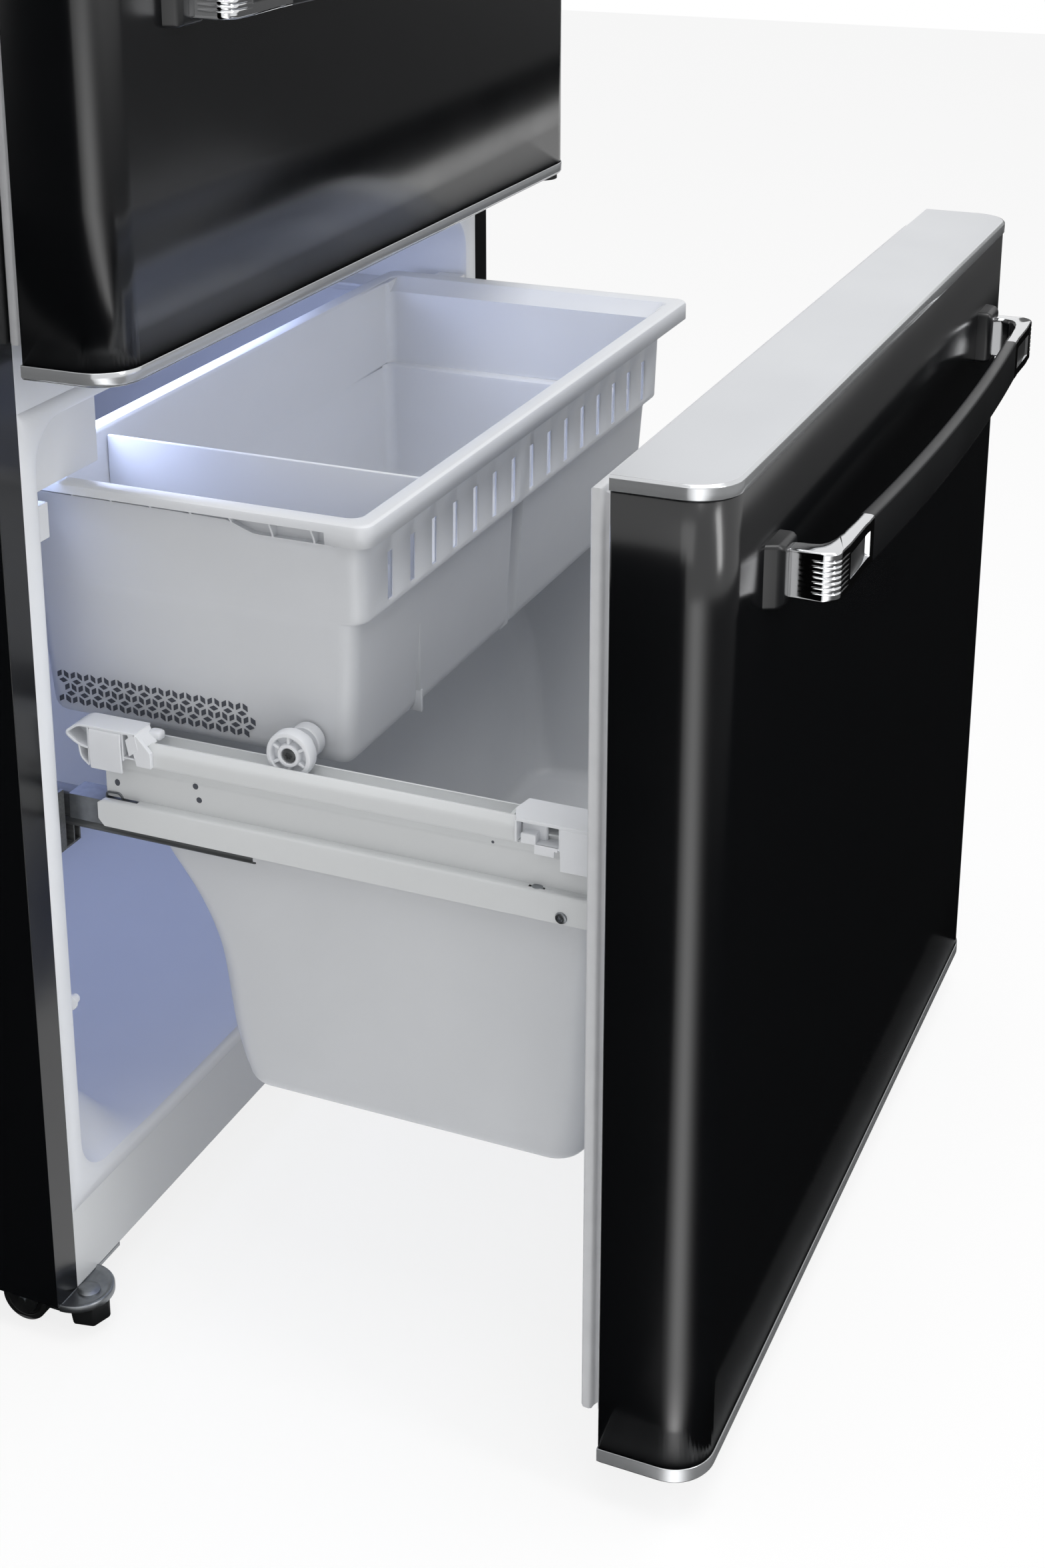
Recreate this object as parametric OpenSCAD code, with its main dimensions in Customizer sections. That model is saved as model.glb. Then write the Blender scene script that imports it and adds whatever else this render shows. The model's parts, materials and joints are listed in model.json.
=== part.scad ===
// Retro bottom-mount refrigerator: upper hinged door, lower pull-out freezer drawer.
// Millimetres, +Z up, the front faces -Y, floor at z = 0.
// Rest pose: upper door shut, freezer drawer pulled out, roller basket part way forward.

/* [Cabinet] */
// Outer width of the cabinet
cabinet_width = 836; // [800:880]
// Depth of the cabinet shell, without the doors
cabinet_depth = 600; // [598:660]
// Height of the cabinet's top above the floor
cabinet_top = 1742; // [1700:1790]
// Height of the cabinet's underside above the floor
base_height = 34; // [32:36]
// Sheet thickness of the outer shell
shell_thickness = 1.2; // [0.8:0.2:1.4]
// Side wall from the shell's face to the inside of the compartments
side_wall = 48; // [46:54]
// Back wall from the shell's face to the inside of the compartments
back_wall = 53; // [48:54]
// Insulated thickness over the fresh-food space
top_wall = 48; // [44:60]
// Thickness of the moulded inner liners
liner_thickness = 1.5; // [1.4:0.2:2]
// Width of the shell's front flange
black_flange = 28; // [24:32]

/* [Compartments] */
// Height of the freezer's floor
freezer_floor = 118; // [112:122]
// Height of the freezer's ceiling
freezer_top = 734; // [730:738]
// Height of the cover between the two compartments
mullion_height = 50; // [46:54]
// Height of the fresh-food floor
fridge_floor = 807; // [804:814]
// Height of the step over the machine space
hump_height = 322; // [302:342]
// Front of the step over the machine space, from the doors' back plane
hump_front = 356; // [354:366]
// Corner radius of the two openings
opening_radius = 34; // [20:40]

/* [Doors] */
// Distance from the cabinet's side to the side of both door fronts
door_inset = 12; // [3:23]
// Thickness of both door fronts
door_thickness = 75; // [70:85]
// Radius of the fronts' vertical corners
door_radius = 30; // [20:38]
// Sheet thickness of the doors' outer skin
door_skin = 1.2; // [0.8:0.2:1.6]
// Gap from the doors' back plane to the cabinet
door_gap = 18; // [17:20]
// Height of the drawer front's lower edge
drawer_bottom = 36; // [35:42]
// Height of the drawer front with its cap and trim
drawer_height = 732; // [722:736]
// Gap between the drawer front and the upper door
split_gap = 11; // [10:13]
// Distance from the upper door's top to the cabinet's top
top_clearance = 5; // [4:8]
// Height of the pressed caps on both fronts
cap_height = 10; // [8:14]
// Height of the trim under the drawer front
drawer_trim_height = 13; // [10:16]
// Height of the trim under the upper door
upper_trim_height = 11; // [9:16]
// Clearance left at seals and rests
seal_gap = 0.3; // [0.2:0.1:0.6]

/* [Handles] */
// Length of the handle bar between its fittings
bar_length = 460; // [420:500]
// How far the bar bows outward at its middle
bar_bow = 6.5; // [3:10]
// Thickness of the handle bar
bar_thickness = 10; // [8:14]
// Height of the bar and fittings
handle_height = 34; // [30:40]
// Distance from the door's face to the bar's outer face at its ends
handle_reach = 45.5; // [42:55]
// Half the distance over the two end fittings
fitting_end = 313; // [300:330]
// Outer corner radius of the end fittings
fitting_radius = 11; // [8:14]
// Drawer handle below the drawer front's top
drawer_handle_drop = 84; // [70:100]
// Upper handle above the upper door's lower edge
upper_handle_rise = 251; // [200:300]

/* [Freezer drawer] */
// Distance that the drawer is pulled out at rest
travel = 422; // [400:430]
// Distance from the freezer's side wall to the rail
rail_inset = 13; // [12:15]
// Height of the drawer rail's section
rail_height = 73; // [71:76]
// Height of the drawer rail's lower edge
rail_z = 425; // [422:428]
// Length of the drawer rail
rail_length = 385; // [370:390]
// Sheet thickness of rails and slides
sheet = 1.5; // [1.2:0.1:1.6]
// Depth of the lower bin
bin_depth = 285; // [262:288]
// Wall thickness of the lower bin
bin_wall = 2.5; // [2:0.5:3]

/* [Roller basket] */
// Gap between the drawer rail and the basket's rim
basket_side_gap = 23.5; // [21:0.5:29.5]
// Length over the basket's rim
basket_length = 302; // [286:304]
// Height of the basket
basket_height = 193.5; // [185:198]
// Front of the basket's rim behind the drawer front
basket_set_back = 202; // [200:204]
// How far the basket rolls forward on the rails
basket_travel = 150; // [100:150]
// Wall thickness of the basket
basket_wall = 2.5; // [2:0.5:3]
// Width of the sloping ledge along the basket's right side
basket_ledge = 22; // [16:26]
// Number of slots in the basket's front
slot_count = 15; // [9:15]
// Distance between two slots
slot_pitch = 37.4; // [34:38]
// Width of a slot
slot_width = 10; // [8:16]
// Height of a slot
slot_height = 38; // [30:42]
// Diameter of the basket's wheels
wheel_diameter = 36; // [34:37]
// Width of the basket's wheels
wheel_width = 12; // [10:13]

/* [Hinges and feet] */
// Diameter of the door's hinge pins
hinge_pin = 8; // [6:10]
// Width over the corners of the levelling foot
foot_width = 34; // [28:36]
// Height of the levelling foot above the floor
foot_lift = 10; // [6:14]
// Diameter of the levelling foot's stud
stud = 8; // [6:10]
// Diameter of the cabinet's rollers
roller_diameter = 40; // [36:44]
// Width of the cabinet's rollers
roller_width = 14; // [12:18]
// Radial clearance of pins in their bores
running = 0.1; // [0.05:0.01:0.1]

/* [Hidden] */
$fn = 48;

// half widths and the main planes; y = 0 is the back edge of the shut doors
cw = cabinet_width / 2;
cx = cw - side_wall;
front = door_gap;
back = front + cabinet_depth;
cavity_back = back - back_wall;
fridge_top = cabinet_top - top_wall;
frame_x = cw - black_flange;
door_width = cabinet_width - 2 * door_inset;
pan = 1.5;
// space kept behind the back sheet by two spacers
spacer = 10;
handle_out = handle_reach + bar_bow;
reach_front = travel + door_thickness + handle_out;
y0 = -((back + spacer) - reach_front) / 2;

// drawer and upper door
drawer_top = drawer_bottom + drawer_height;
upper_bottom = drawer_top + split_gap;
upper_top = cabinet_top - top_clearance;
trim_sheet = 1.2;
return_flange = 12;
door_liner = 2.5;
plug_depth = 20;
seam_low = freezer_floor - 16;
seam_high = freezer_top + 14;
mullion_top = seam_high + mullion_height;

// hinge axis of the upper door
pin_x = door_width / 2 - return_flange;
pin_y = -door_thickness * 0.4;
gasket_x = pin_x;
gasket_width = 19;
bush = hinge_pin + 10;
pin_depth = 18;

// drawer rails and slides, measured from the cavity wall
ro = cx - rail_inset;
rail_top = rail_z + rail_height;
rail_front = plug_depth;
rail_end = rail_front + rail_length;
wheel_z = rail_top - 10 - seal_gap + wheel_diameter / 2 + seal_gap;
trough_z = wheel_z - wheel_diameter / 2 - seal_gap;
ledge_z = rail_z + 20;
bin_ledge = trough_z - 13.2;
bin_rim = ro - 17;
bin_x = ro - 39;
slide_len = 420;
middle_len = 330;
fixed_len = 446;

// roller basket
basket_top = wheel_z + 172.5;
basket_bottom = basket_top - basket_height;
basket_y = basket_set_back;
bx = ro - basket_side_gap;
basket_width = 2 * bx;
ledge_x = bx - 12 - basket_ledge;
step_z = basket_bottom + 114;
slot_z = basket_bottom + 119;
basket_wheel_y = basket_y + 58;
stop_y = basket_wheel_y - basket_travel - wheel_diameter / 2 - seal_gap;
basket_rail_z = basket_top - 14 - seal_gap;

// feet and rollers
roller_d = roller_diameter;
well = roller_d + 2;
roller_x = cw - 22;
roller_front_y = front + 42;
roller_rear_y = back - 50;
foot_x = cw - 30;
foot_y = front - 9;
plate = 4;

// machine space
ms_front = hump_front + 24;
ms_top = hump_height - 30;
ms_mid = (ms_front + back) / 2;
evap_y = cavity_back - 55;
fan_z = freezer_top - 92;
pan_depth = 140;
coil_width = 230;

// ice maker
ice_w = 86;
ice_h = 52;
ice_l = 270;
ice_x = -cx + 1 + ice_w / 2;
tray_z = freezer_top - 26;
tray_r = 22;

// fresh-food shelves
cover_z = fridge_floor + 225;
shelf_pitch = (fridge_top - cover_z - 47) / 3;
shelf_levels = [for (i = [0:2]) cover_z + i * shelf_pitch];
shelf_front = front + 112;
shelf_back = cavity_back - 35;
crisper_travel = 100;

black = "#15161a";
white = "#e8eaee";
chrome = "#c8ccd2";
satin = "#b9bbbf";
steel = "#8b8f94";

module at0() { translate([0, y0, 0]) children(); }
module out() { translate([0, -travel, 0]) children(); }
module box(x0, x1, ya, yb, z0, z1) { translate([x0, ya, z0]) cube([x1 - x0, yb - ya, z1 - z0]); }
module both() { children(); mirror([1, 0, 0]) children(); }
module along_x(x0, x1) { translate([x0, 0, 0]) rotate([90, 0, 90]) linear_extrude(x1 - x0) children(); }
module along_y(ya, yb) { translate([0, yb, 0]) rotate([90, 0, 0]) linear_extrude(yb - ya) children(); }
module rrect(w, h, r) {
  square([w - 2 * r, h], center = true);
  square([w, h - 2 * r], center = true);
  for (i = [-1, 1], j = [-1, 1]) translate([i * (w / 2 - r), j * (h / 2 - r)]) circle(r);
}
// a flat rectangular frame lying in the XZ plane
module frame_y(x, z0, z1, w, ya, yb) {
  difference() {
    box(-x, x, ya, yb, z0, z1);
    box(-x + w, x - w, ya - 1, yb + 1, z0 + w, z1 - w);
  }
}
// plan of a door: square back corners, rounded front ones
module door_plan(w, t, r) {
  translate([-w / 2, -t + r]) square([w, t - r]);
  translate([-w / 2 + r, -t]) square([w - 2 * r, t]);
  for (i = [-1, 1]) translate([i * (w / 2 - r), -t + r]) circle(r);
}

// ---- cabinet
module cabinet_shell() {
  color(black) at0() difference() {
    box(-cw, cw, front, back, base_height, cabinet_top);
    box(-cw + shell_thickness, cw - shell_thickness, front + shell_thickness, back + 1,
      base_height - 1, cabinet_top - shell_thickness);
    box(-frame_x, frame_x, front - 1, front + shell_thickness + 1, base_height - 1,
      cabinet_top - black_flange);
  }
}
module cabinet_back() {
  color(steel) at0() union() {
    box(-cw + shell_thickness, cw - shell_thickness, back - shell_thickness, back, ms_top,
      cabinet_top - shell_thickness);
    for (i = [-1, 1]) translate([i * (cw - 60), back, cabinet_top - 80])
      rotate([-90, 0, 0]) cylinder(d = 30, h = spacer);
  }
}
module wheel_wells(z) {
  for (i = [-1, 1], y = [roller_front_y, roller_rear_y]) translate([i * roller_x, y, 0])
    box(-roller_width / 2 - 0.5, roller_width / 2 + 0.5, -roller_d / 2 - 2, roller_d / 2 + 2, z, well);
}
module roller_bracket(x, y) {
  for (i = [-1, 1]) translate([x + i * (roller_width / 2 + 1.5), y, 0]) {
    box(-1, 1, -14, 14, roller_d / 2, base_height + pan);
    translate([-1, 0, roller_d / 2]) rotate([0, 90, 0]) cylinder(r = 12, h = 2);
  }
  translate([x - roller_width / 2 - 4, y, roller_d / 2]) rotate([0, 90, 0])
    cylinder(d = 6, h = roller_width + 8);
}
module base_pan() {
  color(steel) at0() union() {
    difference() {
      box(-cw + shell_thickness, cw - shell_thickness, front + liner_thickness,
        back - shell_thickness, base_height, base_height + pan);
      wheel_wells(base_height - 1);
    }
    for (i = [-1, 1], y = [roller_front_y, roller_rear_y]) roller_bracket(i * roller_x, y);
    // condenser fan post, motor and shaft
    box(-42, -30, ms_mid - 31, ms_mid + 29, base_height + pan, base_height + 100);
    translate([-50, ms_mid - 1, base_height + 108]) rotate([0, 90, 0]) cylinder(d = 46, h = 34);
    translate([-16.5, ms_mid - 1, base_height + 108]) rotate([0, 90, 0]) cylinder(d = 6, h = 26);
  }
}
function freezer_side(o) = [[front - (o > 0 ? 0 : 1), freezer_floor - o], [hump_front + o, freezer_floor - o],
  [hump_front + o, hump_height - 80], [hump_front + 22 + o, hump_height - o],
  [cavity_back + o, hump_height - o], [cavity_back + o, freezer_top + o],
  [front - (o > 0 ? 0 : 1), freezer_top + o]];
module machine_space() {
  along_x(-cw, cw) polygon([[ms_front, base_height - 1], [ms_front, hump_height - 90],
    [ms_front + 22, ms_top], [back + 1, ms_top], [back + 1, base_height - 1]]);
}
module insulation() {
  lt = liner_thickness;
  color("#d9cfa6") at0() difference() {
    box(-cw + shell_thickness, cw - shell_thickness, front + lt, back - shell_thickness,
      base_height + pan, cabinet_top - shell_thickness);
    along_x(-cx - lt, cx + lt) polygon(freezer_side(lt));
    box(-cx - lt, cx + lt, front, cavity_back + lt, fridge_floor - lt, fridge_top + lt);
    machine_space();
    wheel_wells(base_height);
  }
}
module freezer_liner() {
  lt = liner_thickness;
  color(white) at0() union() {
    difference() {
      along_x(-cx - lt, cx + lt) polygon(freezer_side(lt));
      along_x(-cx, cx) polygon(freezer_side(0));
    }
    along_y(front, front + lt) difference() {
      translate([-frame_x, seam_low]) square([2 * frame_x, seam_high - seam_low]);
      translate([0, (freezer_floor + freezer_top) / 2])
        rrect(2 * cx, freezer_top - freezer_floor, opening_radius);
    }
    // raised pad over the front left foot
    translate([-cx + 50, front + 75, freezer_floor]) linear_extrude(42) rrect(100, 110, 24);
  }
}
module fridge_liner() {
  lt = liner_thickness;
  color(white) at0() union() {
    difference() {
      box(-cx - lt, cx + lt, front, cavity_back + lt, fridge_floor - lt, fridge_top + lt);
      box(-cx, cx, front - 1, cavity_back, fridge_floor, fridge_top);
    }
    along_y(front, front + lt) difference() {
      translate([-frame_x, mullion_top])
        square([2 * frame_x, cabinet_top - black_flange - mullion_top]);
      translate([0, (fridge_floor + fridge_top) / 2])
        rrect(2 * cx, fridge_top - fridge_floor, opening_radius);
    }
    both() for (z = shelf_levels) box(cx - 12, cx, shelf_front, cavity_back, z - 8, z);
  }
}
module mullion_cover() {
  color(white) at0() box(-frame_x, frame_x, front, front + liner_thickness, seam_high, mullion_top);
}
module plinth_panel() {
  color(white) at0() box(-frame_x, frame_x, front, front + liner_thickness, base_height, seam_low);
}
module foot_plates() {
  color(chrome) at0() both() union() {
    intersection() {
      translate([foot_x, front, base_height - plate]) difference() {
        cylinder(r = 28, h = plate + 2);
        translate([0, 0, plate]) cylinder(r = 25, h = 3);
      }
      box(foot_x - 40, foot_x + 40, front - 40, front, base_height - plate, base_height + 3);
    }
    box(foot_x - 60, foot_x, front, front + 16, base_height - plate, base_height);
    translate([foot_x, foot_y, base_height]) cylinder(d = 16, h = 2.5);
    translate([foot_x, foot_y, foot_lift + 8]) cylinder(d = stud, h = base_height - foot_lift - 7);
  }
}
module leveling_foot() {
  color(black) at0() difference() {
    translate([foot_x, foot_y, foot_lift]) rotate([0, 0, 12])
      cylinder(d = foot_width, h = base_height - plate - seal_gap - foot_lift, $fn = 6);
    translate([foot_x, foot_y, foot_lift + 5]) cylinder(d = stud + 2 * running, h = base_height);
  }
}
module leveling_foot_left() { mirror([1, 0, 0]) leveling_foot(); }
module leveling_foot_right() { leveling_foot(); }
module roller(x, y) {
  color("#202124") at0() translate([x, y, roller_d / 2]) rotate([0, 90, 0]) difference() {
    cylinder(d = roller_d, h = roller_width, center = true);
    cylinder(d = 6 + 2 * running, h = roller_width + 2, center = true);
    for (i = [-1, 1]) translate([0, 0, i * (roller_width / 2)]) difference() {
      cylinder(d = roller_d - 10, h = 5, center = true);
      cylinder(d = 14, h = 6, center = true);
    }
  }
}
module roller_front_left() { roller(-roller_x, roller_front_y); }
module roller_front_right() { roller(roller_x, roller_front_y); }
module roller_rear_left() { roller(-roller_x, roller_rear_y); }
module roller_rear_right() { roller(roller_x, roller_rear_y); }

// ---- hinges of the upper door
module top_hinge() {
  color(steel) at0() union() {
    translate([0, 0, cabinet_top]) linear_extrude(4) union() {
      translate([pin_x - 14, pin_y]) square([28, front + 90 - pin_y]);
      translate([pin_x, pin_y]) circle(14);
      translate([pin_x - 50, front + 30]) square([50, 60]);
    }
    translate([pin_x, pin_y, upper_top - pin_depth + 1]) cylinder(d = hinge_pin, h = pin_depth + top_clearance + 1);
  }
}
module middle_hinge() {
  z = drawer_top + (split_gap - 4) / 2;
  color(black) at0() union() {
    translate([0, 0, z]) linear_extrude(4) union() {
      translate([pin_x - 20, -door_thickness + 24]) square([32, front + door_thickness - 24]);
      translate([pin_x - 4, -door_thickness + 24]) circle(16);
    }
    box(pin_x - 34, pin_x + 12, front - 3, front, z - 10, z + 16);
    translate([pin_x, pin_y, z + 3]) cylinder(d = hinge_pin, h = upper_bottom + pin_depth - 1 - z - 3);
  }
}
module hinge_cover() {
  color(black) at0() translate([pin_x - 20, (pin_y + front + 90) / 2, 0]) difference() {
    translate([0, 0, cabinet_top]) linear_extrude(24) rrect(84, front + 130 - pin_y, 12);
    translate([0, 0, cabinet_top - 1]) linear_extrude(23) rrect(80, front + 126 - pin_y, 10);
  }
}

// ---- door parts shared by the upper door and the drawer
module skin_body(z0, z1) {
  s = door_skin;
  translate([0, 0, z0]) linear_extrude(z1 - z0) difference() {
    door_plan(door_width, door_thickness, door_radius);
    translate([0, -s]) door_plan(door_width - 2 * s, door_thickness - 2 * s, door_radius - s);
    translate([-door_width / 2 + return_flange, -s - 1])
      square([door_width - 2 * return_flange, s + 2]);
  }
}
module foam_body(z0, z1, pz0, pz1) {
  s = door_skin;
  translate([0, -door_liner, z0]) linear_extrude(z1 - z0)
    door_plan(door_width - 2 * s, door_thickness - s - door_liner, door_radius - s);
  box(-plug_x + door_liner, plug_x - door_liner, -door_liner - 1, plug_depth - door_liner,
    pz0 + door_liner, pz1 - door_liner);
}
plug_x = gasket_x - gasket_width - 15;
module liner_body(z0, z1, pz0, pz1) {
  t = door_liner;
  difference() {
    union() {
      box(-pin_x, pin_x, -t, 0, z0, z1);
      box(-plug_x, plug_x, -t, plug_depth, pz0, pz1);
    }
    box(-plug_x + t, plug_x - t, -t - 1, plug_depth - t, pz0 + t, pz1 - t);
  }
}
// magnetic seal: foot, waist and lip
module gasket_body(z0, z1) {
  g = door_gap - seal_gap;
  frame_y(gasket_x, z0, z1, gasket_width, 0, 5);
  frame_y(gasket_x - 3, z0 + 3, z1 - 3, gasket_width - 7, 5, 8);
  frame_y(gasket_x, z0, z1, gasket_width, 8, g);
}
module cap_body(z0, h, up) {
  e = trim_sheet;
  difference() {
    translate([0, 0, z0]) linear_extrude(h)
      door_plan(door_width + 2 * e, door_thickness + e, door_radius + e);
    translate([0, 1, z0 + (up ? -1 : e)]) linear_extrude(h - e + 1)
      door_plan(door_width, door_thickness + 1, door_radius);
  }
}
// bowed bar: points along the front and back edges
function bow(x) = bar_bow * (1 - pow(2 * x / bar_length, 2));
bar_steps = 20;
module bar_plan() {
  xs = [for (i = [0:bar_steps]) -bar_length / 2 + bar_length * i / bar_steps];
  polygon(concat([for (x = xs) [x, -handle_reach - bow(x)]],
    [for (i = [bar_steps:-1:0]) [xs[i], -handle_reach - bow(xs[i]) + bar_thickness]]));
}
post_d = 12;
function fitting_plan(o) = let (e = fitting_end - o, d = handle_reach - o, r = fitting_radius,
    b = bar_length / 2)
  concat([[e, -post_d]], [for (i = [0:6]) [e - r + r * cos(i * 15), -d + 1.5 + r - r * sin(i * 15)]],
    [[b, -d]]);
module fitting_shape() {
  r = fitting_radius;
  e = fitting_end - 15;
  b = bar_length / 2;
  polygon(concat(fitting_plan(0), [[b, -handle_reach + bar_thickness],
    [e - 26, -handle_reach + bar_thickness + 2]],
    [for (i = [1:5]) [e - 20 + 20 * sin(i * 18), -handle_reach + bar_thickness + 2 + 20 - 20 * cos(i * 18)]],
    [[e, -post_d]]));
}
module fitting_body(z) {
  translate([0, -door_thickness, z]) both() difference() {
    linear_extrude(handle_height, center = true) fitting_shape();
    // window in the front face
    box(bar_length / 2 + 10, fitting_end - 28, -handle_reach - 4, -handle_reach + 3,
      -handle_height / 2 + 7, handle_height / 2 - 7);
    // grip grooves round the corner
    for (i = [-3:3]) translate([0, 0, i * 3.6]) linear_extrude(1.4, center = true) difference() {
      translate([fitting_end - 26, -handle_reach - 5]) square([30, 28]);
      polygon(concat(fitting_plan(1), [[bar_length / 2, 0], [fitting_end - 1, 0]]));
    }
  }
}
module handle_body(z) {
  translate([0, -door_thickness, z]) {
    linear_extrude(handle_height, center = true) bar_plan();
    both() difference() {
      box(fitting_end - 22, fitting_end + 14, -post_d, 0, -handle_height / 2 - 5, handle_height / 2 + 5);
      translate([fitting_end + 14, -post_d, 0]) rotate([0, 0, 45])
        cube([9, 9, handle_height + 20], center = true);
    }
  }
}

// ---- upper door
upper_plug0 = fridge_floor + 14;
upper_plug1 = fridge_top - 14;
module hinge_bores(d) {
  for (z = [upper_bottom - 1, upper_top - pin_depth]) translate([pin_x, pin_y, z])
    cylinder(d = d, h = pin_depth + 1);
}
module upper_door_skin() {
  color(black) at0() skin_body(upper_bottom + trim_sheet, upper_top - trim_sheet);
}
module upper_door_foam() {
  color("#d9cfa6") at0() difference() {
    foam_body(upper_bottom + trim_sheet, upper_top - trim_sheet, upper_plug0, upper_plug1);
    hinge_bores(bush);
  }
}
bins_z = [for (z = shelf_levels) z + 10];
bin_h = 88;
module upper_door_liner() {
  color(white) at0() difference() {
    union() {
      liner_body(upper_bottom + upper_trim_height, upper_top - cap_height, upper_plug0, upper_plug1);
      both() box(plug_x - 14, plug_x, plug_depth - 1, plug_depth + 48, bins_z[0] - 12, upper_plug1);
    }
  }
}
module door_bins() {
  x = plug_x - 14 - seal_gap;
  color("#cfd8e0") at0() for (z = bins_z) difference() {
    along_x(-x, x) polygon([[plug_depth, z], [plug_depth + 84, z], [plug_depth + 92, z + bin_h],
      [plug_depth + 89, z + bin_h], [plug_depth + 87, z + 60], [plug_depth, z + 60]]);
    along_x(-x + 2.5, x - 2.5) polygon([[plug_depth + 2.5, z + 2.5], [plug_depth + 81.5, z + 2.5],
      [plug_depth + 86.8, z + bin_h + 1], [plug_depth + 2.5, z + bin_h + 1]]);
  }
}
module upper_door_gasket() { color(white) at0() gasket_body(upper_bottom + 20, upper_top - 22); }
module upper_door_cap() {
  color(chrome) at0() difference() {
    union() {
      cap_body(upper_top - cap_height, cap_height, true);
      translate([pin_x, pin_y, upper_top - pin_depth]) cylinder(d = bush, h = pin_depth);
    }
    translate([pin_x, pin_y, upper_top - pin_depth - 1])
      cylinder(d = hinge_pin + 2 * running, h = pin_depth + 2);
  }
}
module upper_door_trim() {
  color(chrome) at0() difference() {
    union() {
      cap_body(upper_bottom, upper_trim_height, false);
      translate([pin_x, pin_y, upper_bottom]) cylinder(d = bush, h = pin_depth);
    }
    translate([pin_x, pin_y, upper_bottom - 1])
      cylinder(d = hinge_pin + 2 * running, h = pin_depth + 2);
  }
}
upper_handle_z = upper_bottom + upper_handle_rise;
module upper_handle_bar() { color(black) at0() handle_body(upper_handle_z); }
module upper_handle_fittings() { color(chrome) at0() fitting_body(upper_handle_z); }

// ---- freezer drawer front
drawer_plug0 = freezer_floor + 12;
drawer_plug1 = freezer_top - 12;
module drawer_skin() {
  color(black) at0() out() skin_body(drawer_bottom + trim_sheet, drawer_top - trim_sheet);
}
module drawer_foam() {
  color("#d9cfa6") at0() out()
    foam_body(drawer_bottom + trim_sheet, drawer_top - trim_sheet, drawer_plug0, drawer_plug1);
}
module drawer_liner() {
  color(white) at0() out()
    liner_body(drawer_bottom + drawer_trim_height, drawer_top - cap_height, drawer_plug0, drawer_plug1);
}
module drawer_gasket() { color(white) at0() out() gasket_body(drawer_bottom + 33, drawer_top - 14); }
module drawer_cap() { color(satin) at0() out() cap_body(drawer_top - cap_height, cap_height, true); }
module drawer_trim() { color(chrome) at0() out() cap_body(drawer_bottom, drawer_trim_height, false); }
drawer_handle_z = drawer_top - drawer_handle_drop;
module drawer_handle_bar() { color(black) at0() out() handle_body(drawer_handle_z); }
module drawer_handle_fittings() { color(chrome) at0() out() fitting_body(drawer_handle_z); }

// ---- drawer rails: folded sheet with a wheel trough, a web and a lower band
module rail_section() {
  s = sheet;
  band = trough_z - 8;
  translate([ro - s, band]) square([s, rail_top - band]);
  translate([ro - 23, trough_z - s]) square([23, s]);
  translate([ro - 23, trough_z - s]) square([s, 9]);
  translate([ro - 10, band]) square([10, s]);
  translate([ro - 10, ledge_z]) square([s, band + s - ledge_z]);
  translate([ro - 34, bin_ledge - s]) square([25, s]);
  translate([ro - 25, ledge_z]) square([25, s]);
}
module rail() {
  color(white) at0() out() difference() {
    union() {
      along_y(rail_front, rail_end) rail_section();
      // stop for the basket's wheel
      box(ro - 22, ro - 1, stop_y - 3, stop_y, trough_z - sheet, trough_z + 6);
      // lower band runs further back
      box(ro - sheet, ro, rail_front, rail_end + 12, rail_z, ledge_z + sheet);
      box(ro - 25, ro, rail_end - 1, rail_end + 12, ledge_z, ledge_z + sheet);
    }
    for (p = [[68, 22], [71, 11]]) translate([ro - 12, rail_end - p[0], ledge_z + p[1]])
      rotate([0, 90, 0]) cylinder(d = 4.5, h = 6);
    translate([ro - 12, rail_end - 7, ledge_z + 12]) rotate([0, 90, 0]) cylinder(d = 5, h = 6);
    // slot for the slide's rear catch, and the window near the front
    box(ro - 8, ro - 2, rail_end - 25, rail_end - 1, ledge_z - 1, ledge_z + 3);
    box(ro - 8, ro - 2, rail_front + 42, rail_front + 56, ledge_z - 1, ledge_z + 3);
    translate([ro - 4, rail_front + 29, rail_z + 5]) rotate([0, 90, 0]) cylinder(d = 5, h = 6);
  }
}
module drawer_rail_left() { mirror([1, 0, 0]) rail(); }
module drawer_rail_right() { rail(); }
// an inverted channel
module channel(x0, x1, z0, z1, s) {
  translate([x0, z1 - s]) square([x1 - x0, s]);
  translate([x0, z0]) square([s, z1 - z0]);
  translate([x1 - s, z0]) square([s, z1 - z0]);
}
module drawer_slides() {
  color(steel) at0() out() both() along_y(rail_front + 2, rail_front + 2 + slide_len)
    channel(ro - 23.5, ro - sheet, rail_z, ledge_z, sheet);
}
mid_out = travel / 2;
mid_top = ledge_z - sheet - seal_gap;
module intermediate_slides() {
  color("#4a4d50") at0() translate([0, -mid_out, 0]) both() along_y(front + 60, front + 60 + middle_len)
    channel(ro - 20, ro - 5, rail_z - 10, mid_top, sheet);
}
module cabinet_slides() {
  zt = mid_top - sheet - seal_gap;
  color("#2b2d30") at0() both() union() {
    along_y(front + 4, front + 4 + fixed_len) union() {
      translate([cx - 1.5, rail_z - 25]) square([1.5, 49]);
      translate([ro - 17, rail_z - 25]) square([cx - ro + 17, 2]);
      channel(ro - 17, ro - 8, rail_z - 25, zt, sheet);
    }
    box(ro + 1.5, cx, front + 4, front + 7, rail_z - 25, rail_z + 24);
  }
}
module guide_profile_front() {
  polygon([[0, trough_z - 16], [0, rail_top + 15], [46, rail_top + 15], [59, rail_top + 12],
    [59, trough_z - 6], [54, trough_z - 16]]);
}
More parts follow.
